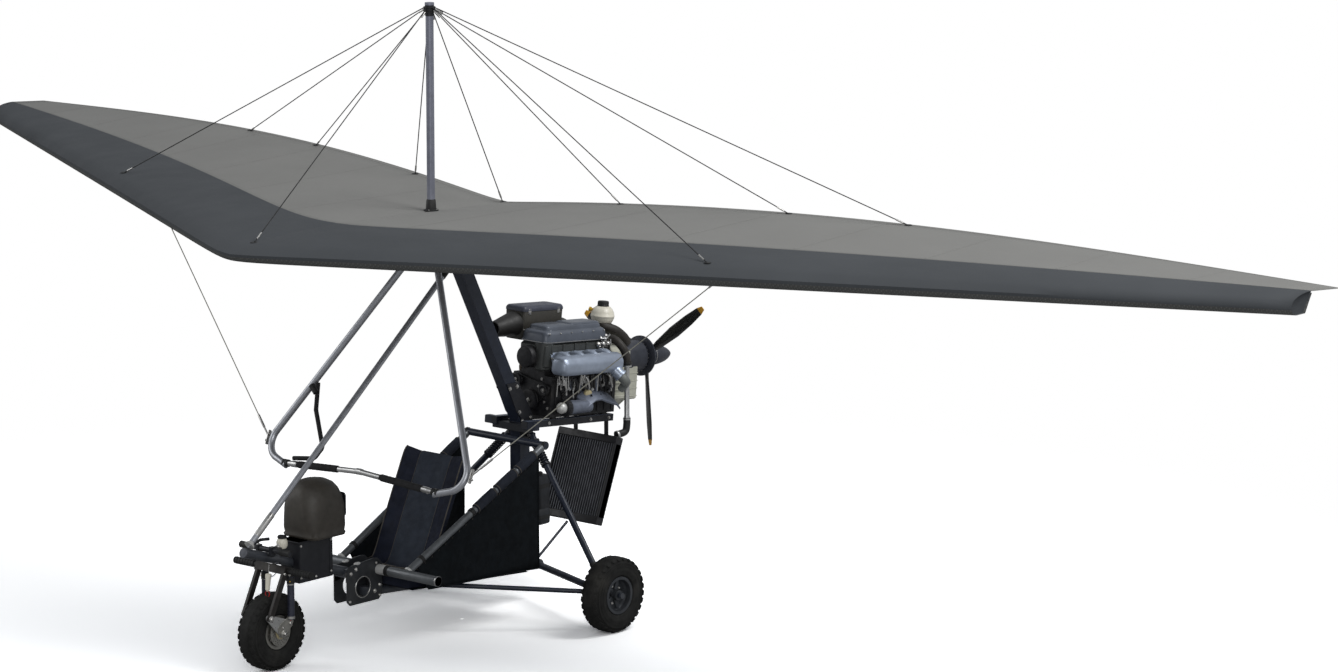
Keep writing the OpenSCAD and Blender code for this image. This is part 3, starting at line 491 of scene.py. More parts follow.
def sail_trim():
    """Hems, seams, batten pockets and tip caps."""
    trim = Shape()
    places = span_steps(40, HALF_SPAN * 0.998)
    ribbon(lambda x: [sail_point(x, 0.985), sail_point(x, 0.965)], places, 0.0006, 0, trim)
    ribbon(lambda x: [sail_point(x, 0.03), sail_point(x, 0.012)], places, 0.0008, 0, trim)
    for side in (-1, 1):
        for i in range(7):
            x = side * (0.45 + 0.66 * i)
            steps = [0.03 + 0.93 * j / 10 for j in range(11)]
            ribbon(lambda t: [sail_point(x - 0.009, t), sail_point(x, t) + Z * 0.0016,
                              sail_point(x + 0.009, t)], steps, 0.0004, 0, trim)
    trim.make("sail_hems", "wing", M["sail"], slot="sail")
    caps = Shape()
    for side in (-1, 1):
        x = side * HALF_SPAN
        edge = [p for p in top_line(x) if p.y < wing_lines(x)[0][0] + wing_lines(x)[1] + 0.001]
        edge += under_line(x)[1:-1]
        centre = sum(edge, Vector()) / len(edge)
        caps.rings([edge, [mix(p, centre, 0.06) - X * side * 0.010 for p in edge],
                    [mix(p, centre, 0.75) - X * side * 0.016 for p in edge]], 0, True, False)
        caps.face_list([mix(p, centre, 0.75) - X * side * 0.016 for p in edge],
                       [tuple(range(len(edge)))])
    # the tip caps take the nose's darker cloth, which is painted shade
    caps.make("tip_caps", "wing", M["sail_nose_painted_shade"], slot="sail")


def sail_point(x, t):
    """Point on the sail's top, a share t of the way from the fold to the trailing edge."""
    (y0, z0), fold, depth, tail = wing_lines(x)
    return Vector((x, mix(y0 + fold, tail[0], t), mix(z0 + depth, tail[1], t) + SAIL_T / 2 * t))


def nose_point(x, k):
    """Point on the nose's top, a share k of the way forward from the fold."""
    (y0, z0), fold, depth, _ = wing_lines(x)
    return Vector((x, y0 + fold * (1 - k),
                   z0 + depth * (LIP + (1 - LIP) * math.sqrt(1 - k ** 2.2))))


KINGPOST = Vector((0, -0.232, 0))
KINGPOST_TOP = 3.5957


def rigging():
    """Wires' end fittings: swaged sleeves, thimbles and the king post's tangs."""
    metal = Shape()
    top = KINGPOST + Z * (KINGPOST_TOP - 0.024)
    ends = [nose_point(s * 2.26, 0.77) for s in (-1, 1)] + [nose_point(0, 0.78)]
    ends += [sail_point(s * x, 0.97) for s in (-1, 1) for x in (0.8, 1.84, 2.56)]
    ends += [sail_point(0, 0.97)]
    for i, end in enumerate(ends):
        way = (end - top).normalized()
        metal.tube([top + way * 0.045, top + way * 0.085], 0.0052, 10)
        metal.tube([end - way * 0.075, end - way * 0.03], 0.0052, 10)
        metal.slab(placed(end + Z * 0.0005), circle(0.02, 16), 0.0025, 0.0005, 1)
    for i in range(4):
        place = placed(KINGPOST + Z * (KINGPOST_TOP - 0.052 + 0.009 * i))
        metal.lathe(place, [(-0.002, 0.024), (-0.002, 0.034), (0.002, 0.034), (0.002, 0.024)], 24,
                    1)
    metal.make("stay_fittings", "wing", M["steel"], M["rubber"], slot="stay_light")
    post = Shape()
    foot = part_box("kingpost")[0].z
    place = placed(KINGPOST)
    post.lathe(place, [(foot, 0.0226), (foot, 0.042), (foot + 0.006, 0.042), (foot + 0.010, 0.030),
                       (foot + 0.060, 0.0265), (foot + 0.066, 0.0226)], 32, 0)
    post.lathe(place, [(KINGPOST_TOP - 0.075, 0.0228), (KINGPOST_TOP - 0.073, 0.0262),
                       (KINGPOST_TOP - 0.004, 0.0262), (KINGPOST_TOP - 0.0002, 0.022),
                       (KINGPOST_TOP - 0.0002, 0.001)], 32, 1)
    for i in range(4):
        a = TAU * i / 4 + 0.4
        post.bolt(KINGPOST + Vector((0.036 * math.cos(a), 0.036 * math.sin(a), foot + 0.006)), Z,
                  0.0035, 2)
    post.make("kingpost_fittings", "wing", M["rubber"], M["frame_black"], M["steel"],
              slot="kingpost_alloy")


sail()
sail_trim()
rigging()

# ---------------------------------------------------------------- control frame

FRAME_TOP = Vector((0.026, -0.246, 2.2617))
FRAME_KNEE = Vector((0.807, -0.786, 1.020))
BAR_END = Vector((0.610, -0.827, 0.968))
BAR_KNEE = Vector((0.510, -0.832, 0.974))
BAR_MID = Vector((0, -0.832, 1.004))


def ring_on(shape, point, way, inner, outer, length, mark=0, sides=28):
    """Sleeve with rounded rims round a tube."""
    place, half, rim = placed(point, way), length / 2, min(length, outer - inner) * 0.3
    shape.loop(place, [(-half, inner), (-half, outer - rim), (-half + rim, outer),
                       (half - rim, outer), (half, outer - rim), (half, inner)], sides, mark)


def control_frame():
    """Grips, rubber rings, corner brackets and bolts of the control frame, and the grab bar's
    clamp.
    """
    grips, rings, metal = Shape(), Shape(), Shape()
    for side in (-1, 1):
        flip = Matrix.Diagonal((side, 1, 1, 1))
        knee, mid, end, corner = (flip @ p for p in (BAR_KNEE, BAR_MID, BAR_END, FRAME_KNEE))
        way = (knee - mid).normalized()
        start, stop = mid + way * 0.164, knee - way * 0.024
        steps = [mix(start, stop, i / 30) for i in range(31)]
        grips.tube(steps, [0.0175 if i in (0, 30) else 0.0205 + 0.0004 * math.sin(i * 2.1)
                           for i in range(31)], 24)
        last = (end - knee).normalized()
        ring_on(rings, mix(knee, end, 0.62), last, 0.0158, 0.0218, 0.022)
        ring_on(rings, mix(knee, end, 0.86), last, 0.0158, 0.0228, 0.016)
        up = (flip @ FRAME_TOP - corner).normalized()
        foot = corner + up * 0.075
        metal.slab(placed(foot + X * side * 0.021 - Y * 0.001, X * side, up),
                   round_box(0.085, 0.026, 0.008), 0.003, 0.0005)
        metal.bolt(foot + X * side * 0.024 + up * 0.022, X * side, 0.006)
        metal.bolt(foot + X * side * 0.024 - up * 0.022, X * side, 0.006)
        metal.bolt(mix(knee, end, 0.74) + Z * 0.016, Z, 0.005)
        metal.bolt(mix(knee, end, 0.74) - Y * 0.016, -Y, 0.005)
        top = flip @ FRAME_TOP
        ring_on(rings, top - up * 0.07, up, 0.0193, 0.0225, 0.03)
        metal.bolt(top - up * 0.03 - Y * 0.02, -Y, 0.007)
    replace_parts(grips.make("hand_grips", "wing", M["foam"], slot="foam"), "grips")
    rings.make("frame_rings", "wing", M["rubber"], slot="foam")
    metal.make("frame_brackets", "wing", M["steel"], slot="strut_alloy")
    clamps = Shape()
    low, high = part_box("grab_bar")
    upper = Vector((low.x, 0, high.z))
    clamps.tube([upper + Vector((0.01, -0.667, -0.012)), upper + Vector((0.05, -0.672, -0.05))],
                0.0175, 20)
    clamps.make("grab_bar_clamp", "wing", M["rubber"], slot="foam")


def lower_wire_ends():
    metal = Shape()
    for side in (-1, 1):
        (y0, z0), fold, _, _ = wing_lines(2.2)
        top = Vector((side * 2.2, y0 + fold * 0.62, z0 - 0.003))
        foot = FRAME_TOP.lerp(FRAME_KNEE, 0.95) + X * 0.0228
        foot = on_side(foot, side)
        way = (top - foot).normalized()
        metal.tube([foot + way * 0.01, foot + way * 0.06], 0.0055, 10)
        metal.tube([foot + way * 0.06, foot + way * 0.075, foot + way * 0.16, foot + way * 0.175],
                   [0.0035, 0.0072, 0.0072, 0.0035], 10)
        metal.tube([top - way * 0.09, top - way * 0.02], 0.0055, 10)
    metal.make("lower_wire_ends", "wing", M["steel"], slot="stay_light")


# ---------------------------------------------------------------- trike frame

STRUT_FOOT = Vector((0, -1.684, 0.748))
HANG = Vector((0, -0.038, 2.150))
BEAM_NOSE = Vector((0, -1.750, 0.698))
BEAM_KNEE = Vector((0, -0.950, 0.449))
KEEL_KNEE = Vector((0, -0.795, 0.305))
KEEL_TAIL = Vector((0, 0.665, 0.205))
SIDE_FOOT = Vector((0.262, -0.745, 0.436))
SIDE_TOP = Vector((0.295, 0.380, 1.000))


def front_strut():
    trim = Shape()
    way = (HANG - Z * 0.04 - STRUT_FOOT).normalized()
    trim.tube([STRUT_FOOT + way * 0.045, STRUT_FOOT + way * 0.05, STRUT_FOOT + way * 0.20,
               STRUT_FOOT + way * 0.205], [0.0172, 0.0188, 0.0188, 0.0172], 28, 0)
    trim.tube([STRUT_FOOT + way * 0.008, STRUT_FOOT + way * 0.05], 0.0085, 16, 0)
    trim.slab(placed(STRUT_FOOT + way * 0.02, way), circle(0.0135, 6), 0.012, 0.0015, 0)
    trim.lathe(placed(STRUT_FOOT - way * 0.026 - Y * 0.002, way),
               [(0, 0.031), (0.006, 0.029), (0.026, 0.013), (0.032, 0.012)], 28, 1)
    ring_on(trim, STRUT_FOOT + way * 2.02, way, 0.0168, 0.0195, 0.05, 2)
    trim.make("strut_ends", "trike", M["steel"], M["weld"], M["rubber"], slot="strut_alloy")


def beams():
    """End caps, weld beads, bolts and rings on the beams, plates and foot tube."""
    trim = Shape()
    beam_way = (BEAM_NOSE - BEAM_KNEE).normalized()
    trim.lathe(placed(BEAM_NOSE, beam_way), [(-0.012, 0.0283), (-0.010, 0.0292), (0.003, 0.0292),
                                             (0.006, 0.0265), (0.007, 0.001)], 36, 0)
    keel_way = (KEEL_TAIL - KEEL_KNEE).normalized()
    trim.lathe(placed(KEEL_TAIL, keel_way), [(-0.01, 0.0283), (-0.008, 0.0292), (0.002, 0.0292),
                                             (0.004, 0.001)], 36, 1)
    plate = 0.054
    for side in (-1, 1):
        face = X * side
        for y, z, size in ((-0.975, 0.285, 0.007), (-0.735, 0.285, 0.007), (-0.965, 0.445, 0.009),
                           (-0.925, 0.465, 0.009), (-0.735, 0.345, 0.008), (-0.775, 0.315, 0.009),
                           (-0.760, 0.475, 0.006)):
            trim.bolt(Vector((side * plate, y, z)), face, size, 2)
        ring_on(trim, Vector((side * (plate + 0.001), -0.870, 0.355)), face, 0.0576, 0.0625, 0.003,
                2, 48)
        ring_on(trim, Vector((side * 0.088, -0.745, 0.436)), X, 0.0279, 0.0292, 0.062, 3, 36)
        ring_on(trim, Vector((side * 0.132, -0.745, 0.436)), X, 0.0279, 0.0308, 0.026, 4, 36)
        end = side * 0.520
        trim.lathe(placed((end, -0.745, 0.436), face),
                   [(-0.010, 0.0282), (-0.008, 0.0290), (-0.001, 0.0290), (0, 0.0270),
                    (0, 0.001)], 36, 5)
        # weld beads where the side tube stands on the foot tube
        start, stop = on_side(SIDE_FOOT, side), on_side(SIDE_TOP, side)
        way = (stop - start).normalized()
        foot = start + way * 0.030
        trim.lathe(placed(foot, way), [(-0.006, 0.023), (0.000, 0.0262), (0.006, 0.0252),
                                       (0.010, 0.0215)], 28, 3)
        for share, length in ((0.115, 0.022), (0.475, 0.026)):
            ring_on(trim, mix(start, stop, share), way, 0.0209, 0.0250, length, 4)
        trim.slab(placed((side * 0.046, -0.975, 0.43), X * side, Y), round_box(0.05, 0.07, 0.01),
                  0.0005, 0, 2)
    # beads along the top of the plates, where the beam enters
    for x in (-0.045, 0.045):
        trim.ball((x, -0.905, 0.494), 0.013, 3, (1, 2.0, 0.7), 14, 8)
    trim.make("frame_trim", "trike", M["fins"], M["rubber"], M["steel"], M["weld"], M["rubber"],
              M["bare_alloy"], slot="frame_grey")


def pads():
    """Stuffed sleeves round the upper part of each side tube, with piped rings at their ends."""
    for side, name in ((1, "port"), (-1, "starboard")):
        shape = Shape()
        foot, top = on_side(SIDE_FOOT, side), on_side(SIDE_TOP, side)
        for start, stop in ((0.50, 0.64), (0.65, 0.79), (0.80, 0.93)):
            steps, count = [], 18
            for i in range(count + 1):
                t = i / count
                bulge = 0.0272 + 0.0022 * math.sin(math.pi * t) ** 0.5
                steps.append(0.0222 if i in (0, count) else bulge)
            shape.tube([mix(foot, top, mix(start, stop, i / count)) for i in range(count + 1)],
                       steps, 24, 0)
            for t in (0.06, 0.94):
                ring_on(shape, mix(foot, top, mix(start, stop, t)), top - foot, 0.0262, 0.0290,
                        0.006, 1)
        pad = shape.make(f"pads_{name}", "trike", M["padding"], M["piping"], slot="padding")
        if side == 1:
            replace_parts(pad, "side_pads")


def keel_top(y):
    return mix(KEEL_KNEE.z, KEEL_TAIL.z, (y - KEEL_KNEE.y) / (KEEL_TAIL.y - KEEL_KNEE.y)) + 0.029


def tube_under(y):
    t = (y - SIDE_FOOT.y) / (SIDE_TOP.y - SIDE_FOOT.y)
    return mix(SIDE_FOOT.z, SIDE_TOP.z, t) - 0.0327


def side_cloth():
    """Cloth sides and floor, taut under the padded tubes, with hems and lacing."""
    hem = Shape()
    for side, name in ((1, "port"), (-1, "starboard")):
        rows, columns = 14, 36
        cloth, lines = Shape(), []
        for i in range(columns + 1):
            y = mix(-0.640, 0.335, i / columns)
            if y < -0.56:
                low = mix(tube_under(-0.64), keel_top(-0.56), (y + 0.64) / 0.08)
            else:
                low = mix(keel_top(y), keel_top(y) + 0.030, max(0, (y + 0.56) / 0.895))
            t = (y - SIDE_FOOT.y) / (SIDE_TOP.y - SIDE_FOOT.y)
            x = mix(SIDE_FOOT.x, SIDE_TOP.x, t)
            line = []
            for j in range(rows + 1):
                s = j / rows
                ripple = 0.0016 * math.sin(9 * i / columns + 3 * s) * math.sin(math.pi * s)
                belly = 0.004 * math.sin(math.pi * s) * math.sin(math.pi * i / columns)
                line.append(Vector((side * (x + ripple - belly), y, mix(low, tube_under(y), s))))
            lines.append(line)
        cloth.rings(lines, 0, False)
        panel = cloth.make(f"side_cloth_{name}", "trike", M["panel_cloth"], slot="panel_cloth")
        thicken(panel, 0.0015)
        if side == 1:
            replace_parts(panel, "side_panels")
        for line in (([v[-1] for v in lines]), [v[0] for v in lines], lines[-1]):
            hem.tube(line, 0.0035, 8, 0)
        for i in range(2, columns, 2):
            point = lines[i][-1]
            hem.tube([point - Z * 0.012, point + Vector((side * 0.006, 0, -0.004)),
                point + Z * 0.002], 0.0014, 6, 1)
    hem.make("side_cloth_hems", "trike", M["panel_cloth"], M["piping"], slot="panel_cloth")
    mat, lines = Shape(), []
    for i in range(21):
        y = mix(-0.66, 0.30, i / 20)
        lines.append([Vector((mix(-0.24, 0.24, j / 16), y, keel_top(y) + 0.004))
                      for j in range(17)])
    mat.rings(lines, 0, False)
    floor_cloth = mat.make("floor_cloth", "trike", M["panel_cloth"], slot="panel_cloth")
    thicken(floor_cloth, 0.003)
    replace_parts(floor_cloth, "cockpit_floor")


control_frame()
lower_wire_ends()
front_strut()
beams()
pads()
side_cloth()

# ---------------------------------------------------------------- cockpit

SEAT_LINE = ((-0.683, 0.400), (-0.655, 0.428), (-0.600, 0.405), (-0.530, 0.388), (-0.470, 0.415),
             (-0.400, 0.560), (-0.330, 0.715), (-0.262, 0.860), (-0.207, 0.975), (-0.180, 1.000))
SEAT_HALF = 0.226


def seat():
    """Padded sling seat: raised side bolsters, sewn channels, a paler middle and a piped front."""
    spine = curve([Vector((0, y, z)) for y, z in SEAT_LINE], 7)
    across, rings = 30, []
    for i, p in enumerate(spine):
        way = (spine[min(i + 1, len(spine) - 1)] - spine[max(i - 1, 0)]).normalized()
        normal = X.cross(way) * (-1 if X.cross(way).y > 0.3 else 1)
        if normal.z < 0 and abs(normal.y) < 0.5:
            normal = -normal
        t = i / (len(spine) - 1)
        ends = min(1.0, t / 0.06, (1 - t) / 0.05)
        top, low = [], []
        for j in range(across + 1):
            u = 2 * j / across - 1
            bolster = 0.030 * max(0.0, (abs(u) - 0.55) / 0.45) ** 1.5 * min(1, t / 0.25)
            channel = -0.005 * math.exp(-((abs(u) - 0.52) / 0.025) ** 2)
            quilt = 0.004 * abs(math.sin(math.pi * t * 7)) if abs(u) < 0.52 else 0.002
            edge = 0.012 * (1 - abs(u) ** 8)
            rise = (bolster + channel + quilt + edge) * ends
            top.append(p + normal * rise + X * u * SEAT_HALF)
            low.append(p - normal * 0.020 * ends * (1 - abs(u) ** 10) + X * u * SEAT_HALF)
        rings.append(top + low[::-1])
    shape = Shape().rings(rings)
    row = len(rings[0])
    for i in range(len(shape.marks) - 2):
        j = i % row
        if abs(2 * (j + 0.5) / across - 1) < 0.52 and j < across and i // row > 14:
            shape.marks[i] = 1
    for side in (-1, 1):
        seam = [r[round(across / 2 * (1 + side * 0.52))] + Vector((0, -0.001, 0.001))
                for r in rings[12:-3]]
        shape.tube(seam, 0.0014, 6, 2)
    shape.tube([p + Z * 0.003 for p in rings[6][:across + 1]], 0.0042, 8, 2)
    shape.tube([r[0] for r in rings[4:-2]], 0.0038, 8, 2)
    shape.tube([r[across] for r in rings[4:-2]], 0.0038, 8, 2)
    piece = shape.make("seat_padding", "trike", M["seat_cloth"], M["seat_panel"], M["piping"],
                       slot="seat_cloth", smooth_angle=60)
    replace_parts(piece, "seat")
    base = Shape()
    front, rear = -0.675, -0.405
    for side in (-1, 1):
        base.slab(placed((side * 0.205 - 0.004, 0, 0), X, Y),
                  [(front, keel_top(front) + 0.007), (rear, keel_top(rear) + 0.007),
                   (-0.44, 0.385), (-0.52, 0.370), (-0.60, 0.385), (front, 0.392)], 0.008, 0.001)
    base.box((-0.205, front, keel_top(front) + 0.0075), (0.205, front + 0.006, 0.39), 0.002, 0)
    base.make("seat_base", "trike", M["seat_cloth"], slot="seat_cloth")


def pod():
    """Round-shouldered instrument pod with dials on the pilot's side, on its stand."""
    shape = Shape()
    y_mid = -1.195
    levels = ((0.7052, 0.235, 0.245, 0.03), (0.707, 0.252, 0.262, 0.035),
        (0.722, 0.262, 0.276, 0.04), (0.728, 0.254, 0.268, 0.045), (0.760, 0.266, 0.284, 0.055),
        (0.820, 0.274, 0.294, 0.075), (0.880, 0.278, 0.298, 0.090), (0.930, 0.272, 0.290, 0.105),
        (0.972, 0.246, 0.262, 0.11), (1.002, 0.200, 0.214, 0.095), (1.020, 0.136, 0.146, 0.067),
        (1.0285, 0.060, 0.066, 0.03), (1.0295, 0.004, 0.004, 0.0019))
    shape.rings([[Vector((x, y + y_mid, z)) for x, y in round_box(w, d, r, 8)]
                 for z, w, d, r in levels])
    piece = shape.make("pod_shell", "trike", M["pod_shell"], slot="pod_shell", smooth_angle=60)
    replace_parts(piece, "instrument_pod")
    dials = Shape()
    face_y = y_mid + 0.1475
    dials.slab(placed((0, face_y - 0.004, 0.868), Y, X), round_box(0.205, 0.135, 0.02), 0.006,
               0.0015, 0)
    for x, z, r in ((-0.062, 0.885, 0.030), (0.062, 0.885, 0.030), (0, 0.893, 0.027),
                    (-0.03, 0.830, 0.018), (0.03, 0.830, 0.018)):
        place = placed((x, face_y + 0.0015, z), Y, X)
        dials.loop(place, [(0, r - 0.003), (0, r + 0.002), (0.004, r + 0.001), (0.005, r - 0.002)],
                   32, 1)
        dials.slab(place, circle(r - 0.002, 32), 0.0015, 0, 2)
        for i in range(9):
            a = math.radians(225 - 33.75 * i)
            tick = place @ Vector((math.cos(a) * r * 0.78, math.sin(a) * r * 0.78, 0.0016))
            dials.slab(placed(tick, Y, place.to_3x3() @ Vector((math.cos(a), math.sin(a), 0))),
                       round_box(r * 0.16, 0.0012, 0.0004, 1), 0.0004, 0, 3)
        a = math.radians(160)
        dials.slab(placed(place @ Vector((math.cos(a) * r * 0.3, math.sin(a) * r * 0.3, 0.002)), Y,
                          place.to_3x3() @ Vector((math.cos(a), math.sin(a), 0))),
                   round_box(r * 0.9, 0.0016, 0.0005, 1), 0.0005, 0, 4)
    for x in (-0.085, -0.072, 0.072, 0.085):
        dials.tube([(x, face_y + 0.002, 0.826), (x, face_y + 0.012, 0.828)], 0.0028, 8, 1)
    dials.make("pod_dials", "trike", M["frame_black"], M["bare_alloy"], M["gauge"], M["weld"],
               M["yellow"], slot="pod_shell")
    stand = Shape()
    for side in (-1, 1):
        x = side * 0.0702
        for y in (-1.376, -1.140):
            stand.slab(placed((x, y, 0.590), X * side, Z), round_box(0.225, 0.020, 0.006), 0.0025,
                       0.0006, 0)
        for y, z in ((-1.376, 0.500), (-1.140, 0.500), (-1.376, 0.680), (-1.140, 0.680),
                     (-1.26, 0.490)):
            stand.bolt((x + side * 0.0025, y, z), X * side, 0.0055, 1)
        stand.slab(placed((x, -1.345, 0.505), X * side, Z), round_box(0.03, 0.06, 0.006), 0.002,
                   0.0005, 2)
    stand.box((-0.078, -1.398, 0.694), (0.078, -1.118, 0.7045), 0.003, 0)
    stand.make("pod_stand_trim", "trike", M["frame_black"], M["steel"], M["plate_grey"],
               slot="frame_black")


# ---------------------------------------------------------------- nose gear

FOOT = Vector((0, -1.520, 0.573))
RAKE = math.radians(19)
WHEEL_Z = 0.218
TYRE_D, TYRE_W = 0.436, 0.130
NOSE_AXLE = Vector((0, -1.543, WHEEL_Z))
ARM_PIVOT = Vector((0, -1.650, 0.322))


def brake_and_bars():
    """Brake bar with its mounts and reservoir, and the foot bar's rubber ends."""
    shape = Shape()
    low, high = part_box("brake_bar")
    mid = (low + high) / 2
    for side in (-1, 1):
        ring_on(shape, mid + X * side * 0.155, X, 0.0152, 0.0195, 0.075, 1)
        shape.box(mid + Vector((side * 0.052 - 0.010, -0.019, -0.030)),
                  mid + Vector((side * 0.052 + 0.010, 0.019, 0.020)), 0.003, 0)
        shape.bolt(mid + Vector((side * 0.052, 0, 0.020)), Z, 0.006, 2)
    shape.box(mid + Vector((-0.064, -0.012, -0.036)), mid + Vector((0.064, 0.012, -0.020)), 0.003,
        0)
    shape.tube([mid + Vector((-0.10, 0.0, 0.01)), mid + Vector((-0.09, 0.05, 0.03)),
                mid + Vector((-0.05, 0.08, 0.036))], 0.009, 12, 0)
    # reservoir with its cap, on a small arm above the beam
    tank = Vector((0.0, -1.452, 0.706))
    shape.lathe(placed(tank - Z * 0.036), [(0, 0.012), (0.004, 0.024), (0.018, 0.0315),
                                           (0.040, 0.032), (0.054, 0.026), (0.060, 0.020)], 28, 3)
    shape.lathe(placed(tank + Z * 0.023), [(0, 0.0225), (0.002, 0.0245), (0.014, 0.0245),
                                           (0.017, 0.021), (0.017, 0.001)], 28, 1)
    for i in range(14):
        a = TAU * i / 14
        shape.box((-0.001, 0.0242, 0.003), (0.001, 0.0258, 0.013), 0.0003, 1,
                  placed(tank + Z * 0.023) @ Matrix.Rotation(a, 4, "Z"))
    shape.tube([tank - Z * 0.036, tank - Z * 0.062], 0.010, 12, 0)
    shape.tube([mid + Vector((0.01, 0.02, 0.0)), tank + Vector((0, -0.03, -0.03)),
                tank - Z * 0.03], 0.013, 12, 0)
    shape.make("brake_parts", "trike", M["frame_black"], M["rubber"], M["steel"],
               M["cream_plastic"], slot="frame_black")
    ends = Shape()
    for side in (-1, 1):
        low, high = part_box("steering_bar")
        x = side * high.x
        for j in range(7):
            ring_on(ends, Vector((x - side * (0.020 + 0.021 * j), FOOT.y, FOOT.z)), X, 0.0161,
                    0.0205, 0.018, 0)
        ends.lathe(placed((x - side * 0.004, FOOT.y, FOOT.z), X * side),
                   [(0, 0.0195), (0.003, 0.0195), (0.0039, 0.017), (0.0039, 0.001)], 28, 0)
    ends.make("foot_rubbers", "nose_fork", M["rubber"], slot="bar_black")


def fork_trim():
    shape = Shape()
    axis = Vector((0, math.sin(RAKE), math.cos(RAKE)))
    shape.lathe(placed(FOOT + axis * 0.118, axis), [(0, 0.0215), (0.003, 0.0215), (0.008, 0.012),
                                                    (0.012, 0.011), (0.012, 0.001)], 24, 0)
    shape.bolt(FOOT + axis * 0.130, axis, 0.0095, 0)
    for side in (-1, 1):
        leg = X * side * 0.100
        pivot = ARM_PIVOT + leg
        shape.bolt(pivot + X * side * 0.0092, X * side, 0.010, 0)
        shape.lathe(placed(pivot + X * side * 0.0088, X * side), [(0, 0.017), (0.003, 0.017),
                                                                  (0.004, 0.015), (0.004, 0.001)],
                    24, 0)
        shape.bolt(pivot - X * side * 0.0178, -X * side, 0.008, 0)
        for y, z in ((-1.548, 0.560), (-1.512, 0.548)):
            shape.bolt(Vector((side * 0.1152, y, z)), X * side, 0.0065, 0)
        # damper: collars, rod, lower eye and its bracket
        foot = Vector((side * 0.100, -1.488, 0.292))
        shape.loop(placed(foot), [(0.205, 0.0202), (0.205, 0.0228), (0.238, 0.0228),
                                  (0.238, 0.0202)], 28, 1)
        shape.loop(placed(foot), [(0.196, 0.0201), (0.196, 0.0212), (0.203, 0.0212),
                                  (0.203, 0.0201)], 28, 0)
        shape.loop(placed(foot), [(0.004, 0.0201), (0.004, 0.0222), (0.018, 0.0222),
                                  (0.018, 0.0201)], 28, 0)
        shape.ball(foot + Vector((side * 0.0120, -0.0185, 0.218)), 0.0042, 2, sides=12, rows=8)
        plate = [(-1.582, 0.255), (-1.560, 0.276), (-1.500, 0.306), (-1.470, 0.298),
                 (-1.464, 0.276), (-1.475, 0.252), (-1.512, 0.218), (-1.530, 0.200),
                 (-1.560, 0.196), (-1.580, 0.215)]
        shape.slab(placed((side * 0.0908 - (0.003 if side < 0 else 0), 0, 0), X, Y), plate,
                   0.003, 0.0006, 3)
        shape.bolt((side * 0.094, -1.488, 0.268), X * side, 0.0085, 0)
        shape.bolt((side * 0.094, -1.545, 0.250), X * side, 0.0055, 0)
        shape.lathe(placed(NOSE_AXLE + X * side * 0.094, X * side),
                    [(0, 0.024), (0.006, 0.024), (0.010, 0.018), (0.012, 0.016), (0.012, 0.001)],
                    28, 3)
        shape.bolt(NOSE_AXLE + X * side * 0.106, X * side, 0.010, 0)
    shape.make("fork_fittings", "nose_fork", M["steel"], M["rubber"], M["yellow"],
               M["rim_alloy"], slot="fork_brown")
    # caliper over the disc's rear edge, with the brake's pull rod and its pipe
    brake = Shape()
    hub = NOSE_AXLE + X * 0.068
    brake.box(hub + Vector((-0.008, 0.040, 0.050)), hub + Vector((0.018, 0.078, 0.092)), 0.004, 0)
    brake.box(hub + Vector((0.002, 0.052, 0.030)), hub + Vector((0.014, 0.080, 0.052)), 0.003, 0)
    brake.lathe(placed(hub + Vector((0.018, 0.058, 0.072)), X), [(0, 0.012), (0.006, 0.012),
                                                                (0.008, 0.009), (0.008, 0.001)],
                20, 1)
    brake.bolt(hub + Vector((0.014, 0.070, 0.040)), X, 0.0045, 2)
    bottle = Vector((0.022, -1.592, 0.455))
    up = Vector((0, 0.10, 1)).normalized()
    brake.lathe(placed(bottle, up), [(0, 0.006), (0.006, 0.009), (0.010, 0.0125), (0.070, 0.0150),
                                     (0.080, 0.0175), (0.096, 0.0175), (0.100, 0.012),
                                     (0.102, 0.001)], 24, 3)
    brake.tube([bottle + up * 0.10, bottle + up * 0.150], 0.0022, 8, 2)
    ring = [bottle + Vector((0.0, 0.0, -0.014)) + Vector((0.016 * math.cos(a), 0,
        0.016 * math.sin(a))) for a in (TAU * i / 20 for i in range(21))]
    brake.tube(ring, 0.0030, 8, 1)
    brake.tube(curve([bottle + Vector((0, 0, -0.028)), bottle + Vector((0.01, 0.005, -0.05)),
                      Vector((0.070, -1.520, 0.405)), Vector((0.078, -1.490, 0.330)),
                      hub + Vector((0.006, 0.060, 0.090))]), 0.0024, 8, 4)
    brake.tube(curve([bottle + up * 0.09 + X * 0.012, Vector((0.052, -1.575, 0.545)),
                      Vector((0.058, -1.552, 0.566))]), 0.0024, 8, 4)
    brake.tube(curve([bottle + up * 0.07 - X * 0.012, Vector((-0.030, -1.585, 0.520)),
                      Vector((-0.045, -1.560, 0.562))]), 0.0024, 8, 4)
    brake.make("brake_caliper", "nose_fork", M["rubber"], M["red"], M["steel"],
               M["cream_plastic"], M["rubber"], slot="bar_black")


